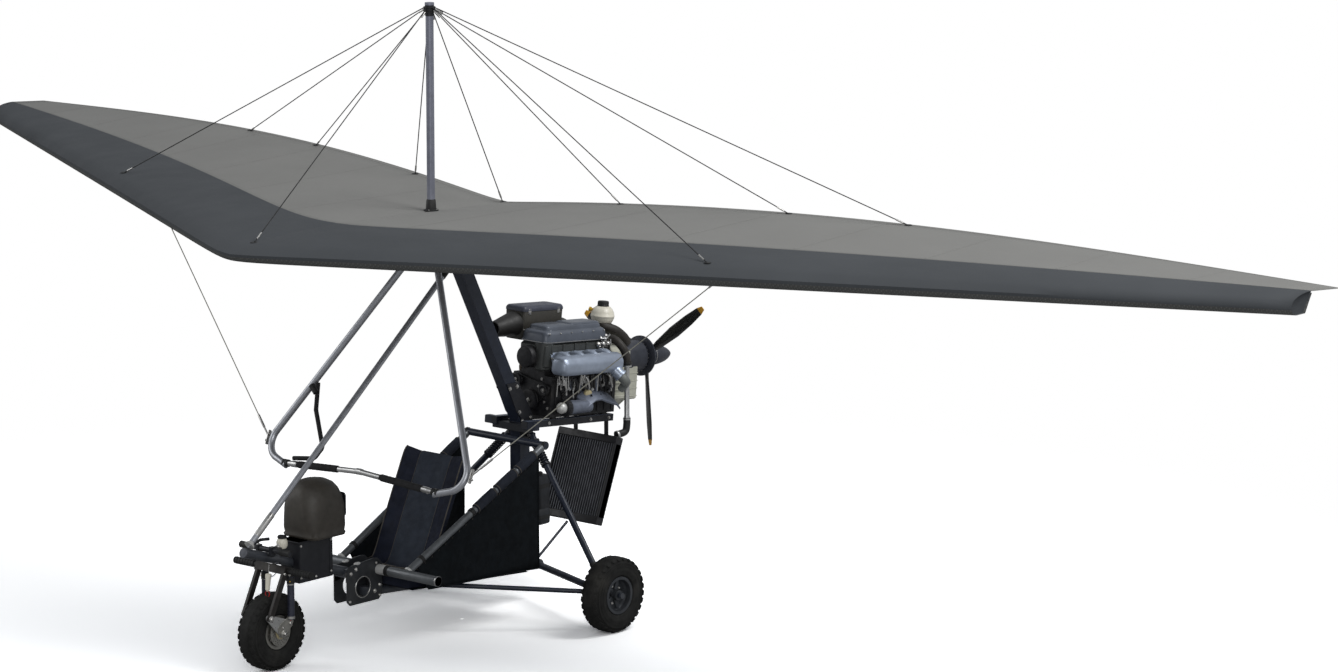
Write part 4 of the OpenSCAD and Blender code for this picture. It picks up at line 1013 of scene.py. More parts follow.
def wheel(name, body, centre, rim_d, hub_half, face, alloy):
    """Tread blocks, sidewall ribs, rim spokes, hub and bolts; face is the outer side, +1 or -1."""
    place = placed(centre, X * face, Y)
    rubber = Shape()
    outer, count = TYRE_D / 2 - 0.0002, 30
    for i in range(count):
        for row, (offset, turn) in enumerate(((-0.047, 0.0), (-0.016, 0.5), (0.016, 0.0),
                                              (0.047, 0.5))):
            a = TAU * (i + turn) / count
            wide, long, tall = (0.021, 0.030, 0.006) if row in (0, 3) else (0.023, 0.034, 0.0045)
            lean = 0.30 * (1 if row % 2 else -1)
            sink = 0.0115 if row in (0, 3) else 0.0045
            to = place @ Matrix.Rotation(a, 4, "Z") @ Matrix.Translation((outer - sink, 0, offset))
            to = to @ Matrix.Rotation(math.radians(90), 4, "Y")
            to = to @ Matrix.Rotation(math.radians((32 if row == 0 else -32) if row in (0, 3)
                                                   else 0), 4, "Y") @ Matrix.Rotation(lean, 4, "Z")
            rubber.slab(to, round_box(wide, long, 0.003, 1), tall, 0.0012, 0)
    for side in (-1, 1):
        for radius, w in ((0.150, 0.0015), (0.168, 0.0012), (0.186, 0.0015)):
            h = side * (TYRE_W / 2 - (0.002 if radius < 0.17 else 0.004))
            rubber.loop(place, [(h - side * 0.003, radius - 0.003), (h + side * w, radius - 0.002),
                                (h + side * w, radius + 0.002), (h - side * 0.003, radius + 0.003)],
                        72, 0)
    rubber.make(f"{name}_tread", body, M["tyre"], slot="tyre")
    metal = Shape()
    inner = rim_d / 2 - 0.014
    for side in (-1, 1):
        h = side * 0.0085
        for i in range(5):
            a = TAU * i / 5
            to = place @ Matrix.Rotation(a, 4, "Z")
            ridge = [(0.030, -0.016), (inner - 0.004, -0.011), (inner - 0.004, 0.011),
                     (0.030, 0.016)]
            layer = [[to @ Vector((x, y, h + side * z)) for x, y in ridge]
                     for z in (0.0, 0.010)]
            top = [to @ Vector((x, y * 0.6, h + side * 0.014)) for x, y in ridge]
            metal.rings(layer + [top], 0)
            metal.bolt((to @ Matrix.Rotation(TAU / 10, 4, "Z")) @ Vector((0.052, 0,
                h + side * 0.0015)), X * face * side, 0.006, 1)
        metal.loop(place, [(h, inner - 0.010), (h + side * 0.014, inner - 0.001),
                           (h + side * 0.014, inner + 0.0005), (h, inner + 0.0005)], 64, 0)
        metal.lathe(place @ Matrix.Translation((0, 0, side * (hub_half - 0.012))),
                    [(0, 0.0305), (side * 0.004, 0.034), (side * 0.011, 0.034)], 36, 0, False)
    metal.make(f"{name}_spokes", body, M[alloy], M["steel"], slot=alloy)


def wheels():
    wheel("nose", "nose_wheel_set", NOSE_AXLE, 0.186, 0.070, 1, "rim_alloy")
    for side, name in ((1, "port"), (-1, "starboard")):
        centre = Vector((side * 0.850, 0.347, WHEEL_Z))
        wheel(f"main_{name}", f"main_wheel_{name}", centre, 0.212, 0.048, side, "rim_grey")
    disc = Shape()
    place = placed(NOSE_AXLE + X * 0.0702, X, Y)
    for ring, radius in enumerate((0.044, 0.056, 0.067)):
        for i in range(18):
            a = TAU * (i + ring / 3) / 18
            disc.slab(placed(place @ Vector((radius * math.cos(a), radius * math.sin(a), 0)), X),
                      circle(0.0027, 10), 0.0004, 0, 0)
    disc.lathe(place, [(0, 0.0345), (0.004, 0.0345), (0.0065, 0.031), (0.0065, 0.001)], 36, 1)
    for i in range(6):
        a = TAU * i / 6
        disc.bolt(place @ Vector((0.027 * math.cos(a), 0.027 * math.sin(a), 0.0065)), X, 0.0032, 2)
    disc.make("brake_disc_holes", "nose_wheel_set", M["rubber"], M["cream_cap"], M["steel"],
              slot="rim_alloy")
    caps = Shape()
    for side in (-1, 1):
        caps.lathe(placed((side * 0.913, 0.347, WHEEL_Z), X * side),
                   [(0, 0.0172), (0.010, 0.0185), (0.014, 0.0170), (0.0145, 0.001)], 24, 0)
    caps.make("axle_caps", "trike", M["frame_grey"], slot="frame_navy")


seat()
pod()
brake_and_bars()
fork_trim()
wheels()

# ---------------------------------------------------------------- engine

ENGINE = Matrix.Translation((0, 1.602, 1.307)) @ Matrix.Rotation(math.radians(-5.3), 4, "X")


ENGINE_X, ENGINE_Y, ENGINE_Z = (ENGINE.to_3x3() @ way for way in (X, Y, Z))


def on_engine(x, y, z):
    return ENGINE @ Vector((x, y, z))


def in_engine(point, axis=(0, 0, 1), side=None):
    return ENGINE @ placed(point, axis, side)


def cover_ring(width, length, radius, height, middle=-0.735):
    """One level of the valve cover, as points in the engine's frame."""
    return [on_engine(x, middle + y, height) for x, y in round_box(width, length, radius, 6)]


def valve_cover():
    shape = Shape()
    levels = ((0.1355, 0.000, 0.045), (0.1440, 0.000, 0.045), (0.1445, 0.005, 0.042),
              (0.1800, 0.007, 0.042), (0.1920, 0.011, 0.040), (0.2000, 0.020, 0.036),
              (0.2050, 0.030, 0.032), (0.2060, 0.034, 0.030), (0.2220, 0.037, 0.028),
              (0.2290, 0.041, 0.026), (0.2320, 0.052, 0.020))
    shape.rings([cover_ring(0.220 - 2 * by, 0.548 - 2 * by, radius, z)
                 for z, by, radius in levels], 0)
    lid = ((0.2310, 0.000), (0.2360, 0.003), (0.2390, 0.010), (0.2398, 0.022))
    shape.rings([[on_engine(x, -0.630 + y, z) for x, y in
                  round_box(0.132 - 2 * by, 0.255 - 2 * by, 0.020, 5)] for z, by in lid], 0)
    shape.rings([[on_engine(x, -0.875 + y, z - 0.004) for x, y in
                  round_box(0.118 - 2 * by, 0.175 - 2 * by, 0.018, 5)] for z, by in lid], 0)
    shape.lathe(in_engine((0.070, -0.945, 0.184)), [(0, 0.020), (0.018, 0.0195), (0.026, 0.012),
                                                    (0.028, 0.001)], 24, 0)
    # bright gasket line, and the screws of the flange
    shape.rings([cover_ring(0.2225, 0.5505, 0.046, z) for z in (0.1380, 0.1404)], 1)
    for i in range(6):
        y = -0.975 + 0.094 * i
        for x in (-0.1015, 0.1015):
            shape.bolt(on_engine(x, y, 0.1880), ENGINE_Z, 0.0048, 1)
    piece = shape.make("valve_cover_shell", "trike", M["engine_grey"], M["steel"],
        slot="engine_grey", smooth_angle=50)
    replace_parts(piece, "valve_cover")


def cylinder_head():
    """Head, timing cover bulge, pulleys and belt at the front of the engine."""
    shape = Shape()
    shape.box((-0.104, -1.004, -0.020), (0.104, -0.431, 0.1355), 0.018, 0, ENGINE)
    shape.rings([[on_engine(x, y, z) for x, y in [(0.052 + r * math.cos(a),
        -0.962 - r * math.sin(a)) for a in (TAU * i / 28 for i in range(28))]] for z,
        r in ((-0.032, 0.036), (-0.018, 0.050), (0.110, 0.055), (0.1345, 0.055))], 0)
    for i in range(6):
        y = -0.955 + 0.10 * i
        shape.box((0.100, y - 0.006, -0.010), (0.110, y + 0.006, 0.126), 0.003, 0, ENGINE)
    # cover, pulleys and belt
    shape.lathe(in_engine((-0.016, -1.020, 0.048), (0, -1, 0)),
                [(-0.03, 0.064), (0.026, 0.064), (0.034, 0.060), (0.038, 0.048), (0.039, 0.001)],
                40, 1)
    for x, z, r in ((0.0, -0.205, 0.062), (0.108, -0.135, 0.034), (-0.108, -0.10, 0.040)):
        place = in_engine((x, -0.992, z), (0, -1, 0))
        shape.lathe(place, [(-0.01, r * 0.5), (0.004, r), (0.010, r), (0.013, r * 0.93),
                            (0.019, r * 0.93), (0.022, r), (0.028, r), (0.030, r * 0.8),
                            (0.024, r * 0.5), (0.026, 0.001)], 36, 1)
        shape.bolt(place @ Vector((0, 0, 0.025)), -ENGINE_Y, 0.010, 2)
    belt = [Vector((0.0, -1.008, -0.268)), Vector((0.060, -1.008, -0.225)),
            Vector((0.143, -1.008, -0.128)), Vector((0.125, -1.008, -0.104)),
            Vector((0.0, -1.008, -0.080)), Vector((-0.120, -1.008, -0.060)),
            Vector((-0.148, -1.008, -0.108)), Vector((-0.060, -1.008, -0.235)),
            Vector((0.0, -1.008, -0.268))]
    line = curve(belt, 5)
    shape.rings([[ENGINE @ (p + Vector((0, y, 0)) + Vector((0, 0, z))) for y, z in
                  ((-0.009, -0.002), (0.009, -0.002), (0.009, 0.002), (-0.009, 0.002))]
                 for p in line], 1, True, False)
    for x, z in ((0.074, -0.075), (0.100, -0.205), (-0.09, 0.08), (0.128, -0.240), (-0.09, -0.24),
                 (0.05, -0.120)):
        shape.bolt(on_engine(x, -0.991, z), -ENGINE_Y, 0.0065, 2)
    # plugs and leads along the top
    for i in range(4):
        y = -0.93 + 0.13 * i
        shape.tube(bent([on_engine(-0.070, y, 0.196), on_engine(-0.074, y, 0.214),
                         on_engine(-0.112, y + 0.01, 0.196), on_engine(-0.118, y + 0.05, 0.10)],
                        0.02, 4), 0.0045, 8, 1)
    shape.make("cylinder_head", "trike", M["head_green"], M["engine_dark"], M["steel"],
               slot="engine_grey")


def intake():
    """Log with a rounded front end, four runners, and the throttle body at its tail."""
    shape = Shape()
    outline = [(-0.044, -0.058), (0.040, -0.058), (0.062, -0.034), (0.064, 0.012), (0.044, 0.046),
               (0.010, 0.058), (-0.034, 0.054), (-0.058, 0.030), (-0.062, -0.036)]
    rounded = []
    for i, p in enumerate(outline):
        a, c = Vector(outline[i - 1]), Vector(outline[(i + 1) % len(outline)])
        b = Vector(p)
        for t in (0.0, 0.5, 1.0):
            u, v = b.lerp(a, 0.22), b.lerp(c, 0.22)
            rounded.append(u * (1 - t) ** 2 + b * 2 * t * (1 - t) + v * t * t)
    shape.rings([[on_engine(0.212 + x * s, y, 0.020 + z * s) for x, z in rounded]
                 for y, s in ((-1.020, 0.50), (-1.017, 0.72), (-1.008, 0.88), (-0.994, 0.97),
                              (-0.976, 1.0), (-0.530, 1.0), (-0.512, 0.96), (-0.502, 0.84),
                              (-0.500, 0.6))], 0)
    for i in range(4):
        y = -0.930 + 0.118 * i
        shape.tube(curve([on_engine(0.096, y, 0.040), on_engine(0.130, y, 0.056),
                          on_engine(0.164, y, 0.068), on_engine(0.202, y, 0.062),
                          on_engine(0.232, y, 0.030)], 5), 0.0265, 20, 0)
        shape.slab(in_engine((0.108, y, 0.046), (0.9, 0, 0.4)), round_box(0.066, 0.082, 0.014, 4),
                   0.010, 0.002, 0)
        for side in (-1, 1):
            shape.bolt(on_engine(0.120, y + side * 0.034, 0.048), ENGINE.to_3x3() @ Vector(
                (0.9, 0, 0.4)), 0.0055, 2)
    way = Vector((0.62, 0.42, -0.66)).normalized()
    stub = in_engine(Vector((0.232, -0.560, -0.010)), way)
    shape.lathe(stub, [(-0.02, 0.036), (0.030, 0.036), (0.031, 0.040), (0.040, 0.040),
                       (0.041, 0.036), (0.062, 0.036), (0.063, 0.041), (0.074, 0.041),
                       (0.076, 0.034), (0.070, 0.030), (0.068, 0.001)], 36, 0)
    shape.tube(curve([stub @ Vector((0, 0, 0.060)), stub @ Vector((0, 0.004, 0.110)),
                      on_engine(0.250, -0.452, -0.105), on_engine(0.205, -0.440, -0.150)], 6),
               [0.030 - 0.0004 * i for i in range(19)], 24, 1)
    piece = shape.make("intake_log", "trike", M["engine_silver"], M["hose_grey"], M["steel"],
                       slot="engine_silver", smooth_angle=32)
    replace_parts(piece, "intake_plenum")


def engine_side():
    """The crowded port side under the intake: rods, pipes, starter, tray and block ribs."""
    chance = random.Random(7)
    shape = Shape()
    for i in range(46):
        y = -0.960 + 0.0105 * i
        top = -0.030 - 0.055 * chance.random()
        low = top - 0.030 - 0.085 * chance.random()
        x = 0.152 + 0.040 * chance.random()
        mark = chance.choice((0, 0, 1, 1, 2, 3))
        lean = 0.018 * (chance.random() - 0.5)
        shape.tube([on_engine(x, y, top), on_engine(x + lean, y + lean, low)],
                   0.0028 + 0.0042 * chance.random(), 8, mark)
        if i % 3 == 0:
            shape.bolt(on_engine(x, y, low), ENGINE_X, 0.0075, 1)
    for i in range(5):
        y = -0.940 + 0.10 * i
        shape.tube(bent([on_engine(0.150, y, -0.05), on_engine(0.192, y + 0.01, -0.065),
                         on_engine(0.196, y + 0.03, -0.130), on_engine(0.152, y + 0.05, -0.165)],
                        0.03, 4), 0.0075, 10, 2 if i % 2 else 0)
        shape.lathe(in_engine((0.148, y + 0.05, -0.135), (1, 0, 0)),
                    [(0, 0.024), (0.010, 0.024), (0.014, 0.020), (0.015, 0.001)], 20, 2)
    shape.box((0.146, -0.965, -0.062), (0.176, -0.470, -0.040), 0.006, 2, ENGINE)
    shape.lathe(in_engine((0.176, -0.700, -0.165), (0.9, -0.4, 0.1)),
                [(-0.03, 0.022), (0.006, 0.026), (0.014, 0.020), (0.018, 0.001)], 24, 4)
    # starter motor
    nose = in_engine((0.196, -0.905, -0.232), (0, -1, 0))
    shape.lathe(nose, [(0.020, 0.030), (0.040, 0.033), (0.056, 0.028), (0.066, 0.016),
                       (0.069, 0.001)], 28, 5)
    shape.lathe(nose, [(-0.012, 0.046), (-0.010, 0.050), (0.016, 0.050), (0.020, 0.046),
                       (0.021, 0.001)], 28, 2)
    for i in range(18):
        a = TAU * i / 18
        shape.box((-0.004, 0.047, -0.008), (0.004, 0.0535, 0.014), 0.001, 2,
                  nose @ Matrix.Rotation(a, 4, "Z"))
    shape.lathe(nose, [(-0.205, 0.001), (-0.204, 0.030), (-0.196, 0.038), (-0.014, 0.042),
                       (-0.012, 0.030)], 32, 3)
    # casting tray over the starter, rising to the rear
    tray = [[on_engine(x, y, z + up) for x, z in
             ((0.150, -0.178), (0.214, -0.212), (0.236, -0.236), (0.230, -0.244),
              (0.206, -0.222), (0.150, -0.192))]
            for y, up in ((-0.770, 0.0), (-0.740, 0.014), (-0.690, 0.040), (-0.640, 0.044),
                          (-0.560, 0.020), (-0.500, 0.004), (-0.470, -0.020))]
    shape.rings(tray, 3)
    for y in (-0.70, -0.62, -0.54):
        shape.bolt(on_engine(0.206, y, -0.172), ENGINE.to_3x3() @ Vector((0.55, 0, 0.83)), 0.006, 2)
    # block ribs and sump
    for i in range(9):
        y = -0.955 + 0.062 * i
        for x in (-0.1535, 0.1515):
            shape.box((min(x, x + 0.004), y - 0.004, -0.275), (max(x, x + 0.004), y + 0.004,
                -0.075), 0.0015, 2, ENGINE)
    # exhaust on the starboard side
    for i in range(4):
        y = -0.90 + 0.12 * i
        shape.tube(curve([on_engine(-0.088, y, 0.01), on_engine(-0.150, y + 0.01, 0.0),
                          on_engine(-0.196, y + 0.05, -0.07), on_engine(-0.200, -0.56, -0.15)], 5),
                   0.019, 16, 6)
        shape.slab(in_engine((-0.104, y, 0.010), (-1, 0, 0)), round_box(0.055, 0.075, 0.012, 3),
                   0.010, 0.001, 6)
    shape.tube(bent([on_engine(-0.200, -0.60, -0.145), on_engine(-0.200, -0.47, -0.165),
                     on_engine(-0.200, -0.36, -0.230)], 0.05, 5), 0.027, 20, 6)
    shape.make("engine_side_parts", "trike", M["steel"], M["bare_alloy"], M["engine_dark"],
               M["casting_blue"], M["cream_cap"], M["weld"], M["exhaust"], slot="engine_dark")
    # bright knot of fittings at the rear port corner of the cover
    knot = Shape()
    for i in range(15):
        a, b = (Vector((0.096 + 0.038 * chance.random(), -0.575 + 0.115 * chance.random(),
                        0.085 + 0.085 * chance.random())) for _ in range(2))
        knot.tube([ENGINE @ a, ENGINE @ a.lerp(b, 0.6)], 0.0035 + 0.003 * chance.random(), 8, i % 2)
    for i in range(3):
        knot.lathe(in_engine((0.108, -0.560 + 0.042 * i, 0.105), (0.7, 0, 0.7)),
                   [(0, 0.014), (0.014, 0.016), (0.020, 0.010), (0.022, 0.001)], 18, 0)
    knot.make("coolant_fittings", "trike", M["steel"], M["bare_alloy"], slot="engine_silver")


def air_box():
    shape = Shape()
    body = [[on_engine(-0.210 + x, -0.775 + y, z) for x, y in round_box(w, l, r, 5)]
            for z, w, l, r in ((0.122, 0.136, 0.326, 0.020), (0.130, 0.148, 0.338, 0.022),
                               (0.286, 0.154, 0.344, 0.022), (0.290, 0.148, 0.338, 0.020))]
    shape.rings(body, 0)
    lid = [[on_engine(-0.210 + x, -0.775 + y, z) for x, y in round_box(w, l, r, 5)]
           for z, w, l, r in ((0.289, 0.158, 0.348, 0.022), (0.300, 0.160, 0.350, 0.024),
                              (0.312, 0.152, 0.342, 0.024), (0.318, 0.138, 0.328, 0.022),
                              (0.3198, 0.110, 0.300, 0.020))]
    shape.rings(lid, 1)
    for x in (-0.286, -0.134):
        for y in (-0.90, -0.65):
            shape.box((x - 0.0035, y - 0.012, 0.270), (x + 0.0035, y + 0.012, 0.304), 0.001, 2,
                      ENGINE)
    horn = ((-0.945, 0.0715), (-0.958, 0.0725), (-0.975, 0.0700), (-1.105, 0.0480),
            (-1.119, 0.0470), (-1.120, 0.0410), (-1.040, 0.0380), (-1.038, 0.0010))
    shape.rings([[on_engine(-0.210 + x, y, 0.139 + max(0.047, 0.073 + (y + 0.950) * 0.150) + z)
                  for x, z in circle(radius, 40)] for y, radius in horn], 3)
    shape.box((-0.146, -0.800, -0.0545), (-0.116, -0.740, 0.124), 0.005, 3, ENGINE)
    shape.bolt(on_engine(-0.131, -0.801, 0.02), -ENGINE_Y, 0.007, 2)
    shape.bolt(on_engine(-0.131, -0.801, 0.09), -ENGINE_Y, 0.007, 2)
    shape.tube(curve([on_engine(-0.20, -0.602, 0.21), on_engine(-0.18, -0.56, 0.21),
                      on_engine(-0.13, -0.50, 0.16), on_engine(-0.10, -0.47, 0.10)], 6),
               0.020, 20, 3)
    piece = shape.make("airbox_shell", "trike", M["airbox_side"], M["airbox_lid"], M["steel"],
                       M["airbox_black"], slot="airbox_black", smooth_angle=45)
    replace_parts(piece, "airbox")


def coolant():
    """Header tank, hoses, the vertical pipe and the gearbox oil lines."""
    shape = Shape()
    place = in_engine((-0.030, -0.375, 0.250))
    shape.lathe(place, [(-0.052, 0.030), (-0.046, 0.046), (-0.034, 0.058), (-0.014, 0.0675),
                        (-0.003, 0.0695), (-0.002, 0.0705), (0.004, 0.0705), (0.005, 0.0695),
                        (0.024, 0.0655), (0.042, 0.056), (0.054, 0.044), (0.058, 0.036)], 44, 0)
    shape.lathe(place, [(0.054, 0.0345), (0.064, 0.0345), (0.066, 0.0325), (0.084, 0.0325),
                        (0.088, 0.0300), (0.088, 0.001)], 32, 1)
    for i in range(16):
        shape.box((0.0317, -0.002, 0.068), (0.0333, 0.002, 0.083), 0.0005, 1,
                  place @ Matrix.Rotation(TAU * i / 16, 4, "Z"))
    left = place @ Vector((-0.048, -0.030, 0.030))
    shape.lathe(placed(left, Vector((-1, -0.35, 0.25))), [(0, 0.010), (0.014, 0.010),
                                                          (0.016, 0.014), (0.026, 0.014),
                                                          (0.028, 0.001)], 16, 2)
    shape.tube([left + Z * 0.012 + X * 0.012, left + Z * -0.020 - X * 0.010], 0.009, 12, 2)
    shape.tube(curve([on_engine(0.070, -0.452, 0.122), on_engine(0.120, -0.440, 0.136),
                      Vector((0.176, 1.184, 1.448)), Vector((0.197, 1.202, 1.395)),
                      Vector((0.200, 1.206, 1.330))], 7), 0.024, 24, 3)
    shape.tube([on_engine(-0.030, -0.375, 0.206), on_engine(-0.030, -0.375, 0.081)], 0.0245, 24, 3)
    shape.tube(curve([on_engine(-0.028, -0.400, 0.196), on_engine(0.010, -0.392, 0.190),
                      on_engine(0.040, -0.330, 0.168), on_engine(0.048, -0.262, 0.124),
                      on_engine(0.050, -0.240, 0.088)], 7), 0.029, 24, 3)
    pipe = placed((0.200, 1.206, 1.330), -Z)
    shape.lathe(pipe, [(-0.004, 0.0285), (0.006, 0.0285), (0.007, 0.020), (0.010, 0.0155),
                       (0.060, 0.0155), (0.300, 0.0155), (0.306, 0.0175), (0.312, 0.0175),
                       (0.314, 0.0225), (0.322, 0.0225), (0.323, 0.001)], 30, 4)
    shape.lathe(pipe, [(-0.022, 0.0295), (-0.020, 0.0305), (-0.010, 0.0305), (-0.008, 0.0295)],
                30, 1)
    shape.tube(bent([Vector((0.200, 1.206, 1.018)), Vector((0.200, 1.206, 0.985)),
                     Vector((0.199, 1.200, 0.935)), Vector((0.186, 1.128, 0.925))], 0.05, 7),
               0.0215, 24, 5)
    ring_on(shape, Vector((0.187, 1.135, 0.926)), Vector((0.14, 0.78, 0.1)), 0.0214, 0.0245,
            0.014, 4)
    piece = shape.make("coolant_run", "trike", M["cream_plastic"], M["rubber"], M["yellow"],
        M["hose_brown"], M["bare_alloy"], M["rubber"], slot="bare_alloy", smooth_angle=50)
    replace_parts(piece, "coolant_pipe", "coolant_tank")


def reduction_gear():
    """Cream case with ribbed flanges, ring of bolts and the slate drum behind the hub."""
    shape = Shape()
    outline = [(-0.060, -0.268), (0.060, -0.268), (0.112, -0.222), (0.118, 0.030), (0.080, 0.078),
               (-0.080, 0.078), (-0.118, 0.030), (-0.112, -0.222)]
    start, depth = -0.4295, 0.149
    upright = ENGINE @ Matrix.Translation((0, start, 0)) @ Matrix.Rotation(
        math.radians(-90), 4, "X") @ Matrix.Diagonal((1, -1, 1, 1))
    shape.slab(upright, outline, depth, 0.005, 0)
    for h, thick in ((0.004, 0.012), (0.132, 0.015)):
        shape.slab(upright @ Matrix.Translation((0, 0, h)), inset(outline, -0.004), thick, 0.003, 0)
    for z in (0.046, -0.048, -0.212):
        for side in (-1, 1):
            x = side * 0.113
            shape.box((min(x, x + side * 0.014), start + 0.004, z - 0.011),
                      (max(x, x + side * 0.014), start + 0.144, z + 0.011), 0.004, 0, ENGINE)
            for y in (start + 0.022, start + 0.126):
                shape.bolt(on_engine(x + side * 0.014, y, z), ENGINE_X * side, 0.0055,
                           2)
    for z in (0.004, -0.09, -0.13, -0.17):
        shape.box((0.108, start + 0.02, z - 0.003), (0.1225, start + 0.13, z + 0.003), 0.0015, 0,
                  ENGINE)
    for i in range(9):
        a = TAU * i / 9 + 0.2
        shape.bolt(on_engine(0.100 * math.cos(a), start + depth + 0.001, 0.100 * math.sin(a) * 0.6),
                   ENGINE_Y, 0.006, 2)
    shape.lathe(in_engine((0, -0.281, 0), (0, 1, 0)),
                [(0, 0.098), (0.004, 0.1), (0.070, 0.1), (0.074, 0.094), (0.194, 0.094),
                 (0.199, 0.088), (0.200, 0.0165), (0.15, 0.0155)], 60, 1, False)
    for i in range(24):
        a = TAU * i / 24
        shape.bolt(on_engine(0.090 * math.cos(a), -0.082, 0.090 * math.sin(a)),
                   ENGINE_Y, 0.0035, 2)
    shape.box((-0.085, -0.281, -0.240), (0.085, -0.161, -0.0425), 0.008, 0, ENGINE)
    for z in (-0.085, -0.13, -0.175, -0.22):
        shape.box((-0.087, -0.285, z - 0.003), (0.087, -0.160, z + 0.003), 0.0015, 0, ENGINE)
    piece = shape.make("gearbox_case", "trike", M["cream_metal"], M["drum_slate"], M["steel"],
                       slot="cream_metal")
    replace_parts(piece, "gearbox")


# ---------------------------------------------------------------- propeller

def propeller():
    """Hub with teeth and bolts, and its spinner."""
    hub = Shape()
    axis = in_engine((0, 0, 0), (0, 1, 0))
    hub.lathe(axis, [(-0.240, 0.001), (-0.240, 0.0149), (-0.056, 0.0149), (-0.056, 0.116),
                     (-0.054, 0.1195), (-0.045, 0.1195), (-0.042, 0.116), (-0.0415, 0.070),
                     (-0.038, 0.060), (0.034, 0.060), (0.036, 0.0615), (0.060, 0.0610),
                     (0.085, 0.0590), (0.115, 0.0540), (0.145, 0.0465), (0.170, 0.0370),
                     (0.192, 0.0255), (0.208, 0.0140), (0.216, 0.0050), (0.218, 0.001)], 72, 0)
    for i in range(36):
        a = TAU * i / 36
        point = (0.1135 * math.cos(a), -0.042, 0.1135 * math.sin(a))
        hub.slab(in_engine(point, (0, 1, 0)), circle(0.0032, 8), 0.0014, 0, 1)
    for i in range(6):
        a = TAU * i / 6 + 0.3
        hub.bolt(on_engine(0.084 * math.cos(a), -0.0416, 0.084 * math.sin(a)),
                 ENGINE_Y, 0.0075, 1)
    hub.loop(axis, [(0.0345, 0.0600), (0.0345, 0.0617), (0.0365, 0.0622), (0.0385, 0.0617),
                    (0.0385, 0.0600)], 72, 1)
    piece = hub.make("prop_hub_shell", "propeller", M["drum_slate"], M["steel"], slot="hub_black",
                     smooth_angle=45)
    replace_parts(piece, "prop_hub")


def blade_tips():
    """The blades keep their CAD shape; a black and yellow finish follows the radius."""
    node = frame["nodes"]["prop_blades"]
    finish = M["blade_black"]
    tree = finish.node_tree
    shader = tree.nodes["Principled BSDF"]
    where = tree.nodes.new("ShaderNodeNewGeometry").outputs["Position"]
    middle = tree.nodes.new("ShaderNodeVectorMath")
    middle.operation = "DISTANCE"
    tree.links.new(where, middle.inputs[0])
    middle.inputs[1].default_value = tuple(on_engine(0, -0.02, 0))
    step = tree.nodes.new("ShaderNodeMapRange")
    step.inputs["From Min"].default_value = 0.500
    step.inputs["From Max"].default_value = 0.504
    tree.links.new(middle.outputs["Value"], step.inputs["Value"])
    blend = tree.nodes.new("ShaderNodeMix")
    blend.data_type = "RGBA"
    tree.links.new(step.outputs["Result"], blend.inputs["Factor"])
    tree.links.new(shader.inputs["Base Color"].links[0].from_socket, blend.inputs[6])
    blend.inputs[7].default_value = (0.72, 0.36, 0.02, 1)
    tree.links.new(blend.outputs[2], shader.inputs["Base Color"])
    for polygon in node.data.polygons:
        polygon.use_smooth = True
    node.data.set_sharp_from_angle(angle=math.radians(40))


# ---------------------------------------------------------------- rear frame

RAD_FOOT = Vector((0, 0.925, 0.425))
RAD_TOP = Vector((0, 1.110, 0.905))


def radiator():
    shape = Shape()
    way = (RAD_TOP - RAD_FOOT).normalized()
    place = Matrix.Translation(RAD_FOOT) @ Matrix((X, way.cross(X), way)).transposed().to_4x4()
    w, l, t = 0.230, 0.530, 0.030
    shape.box((-w, -t * 0.70, 0.040), (w, t * 0.70, l - 0.040), 0.001, 0, place)
    for low, high in (((-w, -t, 0.0), (w, t, 0.046)), ((-w, -t, l - 0.046), (w, t, l - 0.0005)),
                      ((-w, -t, 0.04), (-w + 0.018, t, l - 0.04)),
                      ((w - 0.018, -t, 0.04), (w, t, l - 0.04))):
        shape.box(low, high, 0.005, 0, place)
    count = 23
    for i in range(count):
        x = -w + 0.030 + (2 * w - 0.060) * i / (count - 1)
        for face in (-1, 1):
            y = face * t * 0.70
            shape.box((x - 0.0022, min(y, y + face * 0.0065), 0.045),
                      (x + 0.0022, max(y, y + face * 0.0065), l - 0.045), 0.0006, 1, place)
    for x in (-w + 0.05, w - 0.05):
        shape.lathe(place @ placed((x, 0, l - 0.002), (0, 0, -1)), [(0, 0.016), (0.010, 0.016)],
                    20, 0)
    for x in (-0.12, 0.12):
        shape.box((min(x, x * 1.117), -0.004, l - 0.015), (max(x, x * 1.117), 0.004, l - 0.003),
                  0.001, 0, place)
    piece = shape.make("radiator_core", "trike", M["radiator_black"], M["fins"],
        slot="radiator_black")
    hangers = Shape()
    for side in (-1, 1):
        x = side * 0.120
        low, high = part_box("radiator")
        hangers.box((x - 0.014, 1.110, 0.895), (x + 0.014, 1.118, high.z), 0.001, 0)
        hangers.bolt(Vector((x, 1.118, 0.915)), Y, 0.007, 1)
    hangers.make("radiator_hangers", "trike", M["radiator_black"], M["steel"],
                 slot="radiator_black")
    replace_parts(piece, "radiator")


LEG_TOP = Vector((0.085, 0.507, 1.010))
LEG_FOOT = Vector((0.761, 0.337, 0.300))


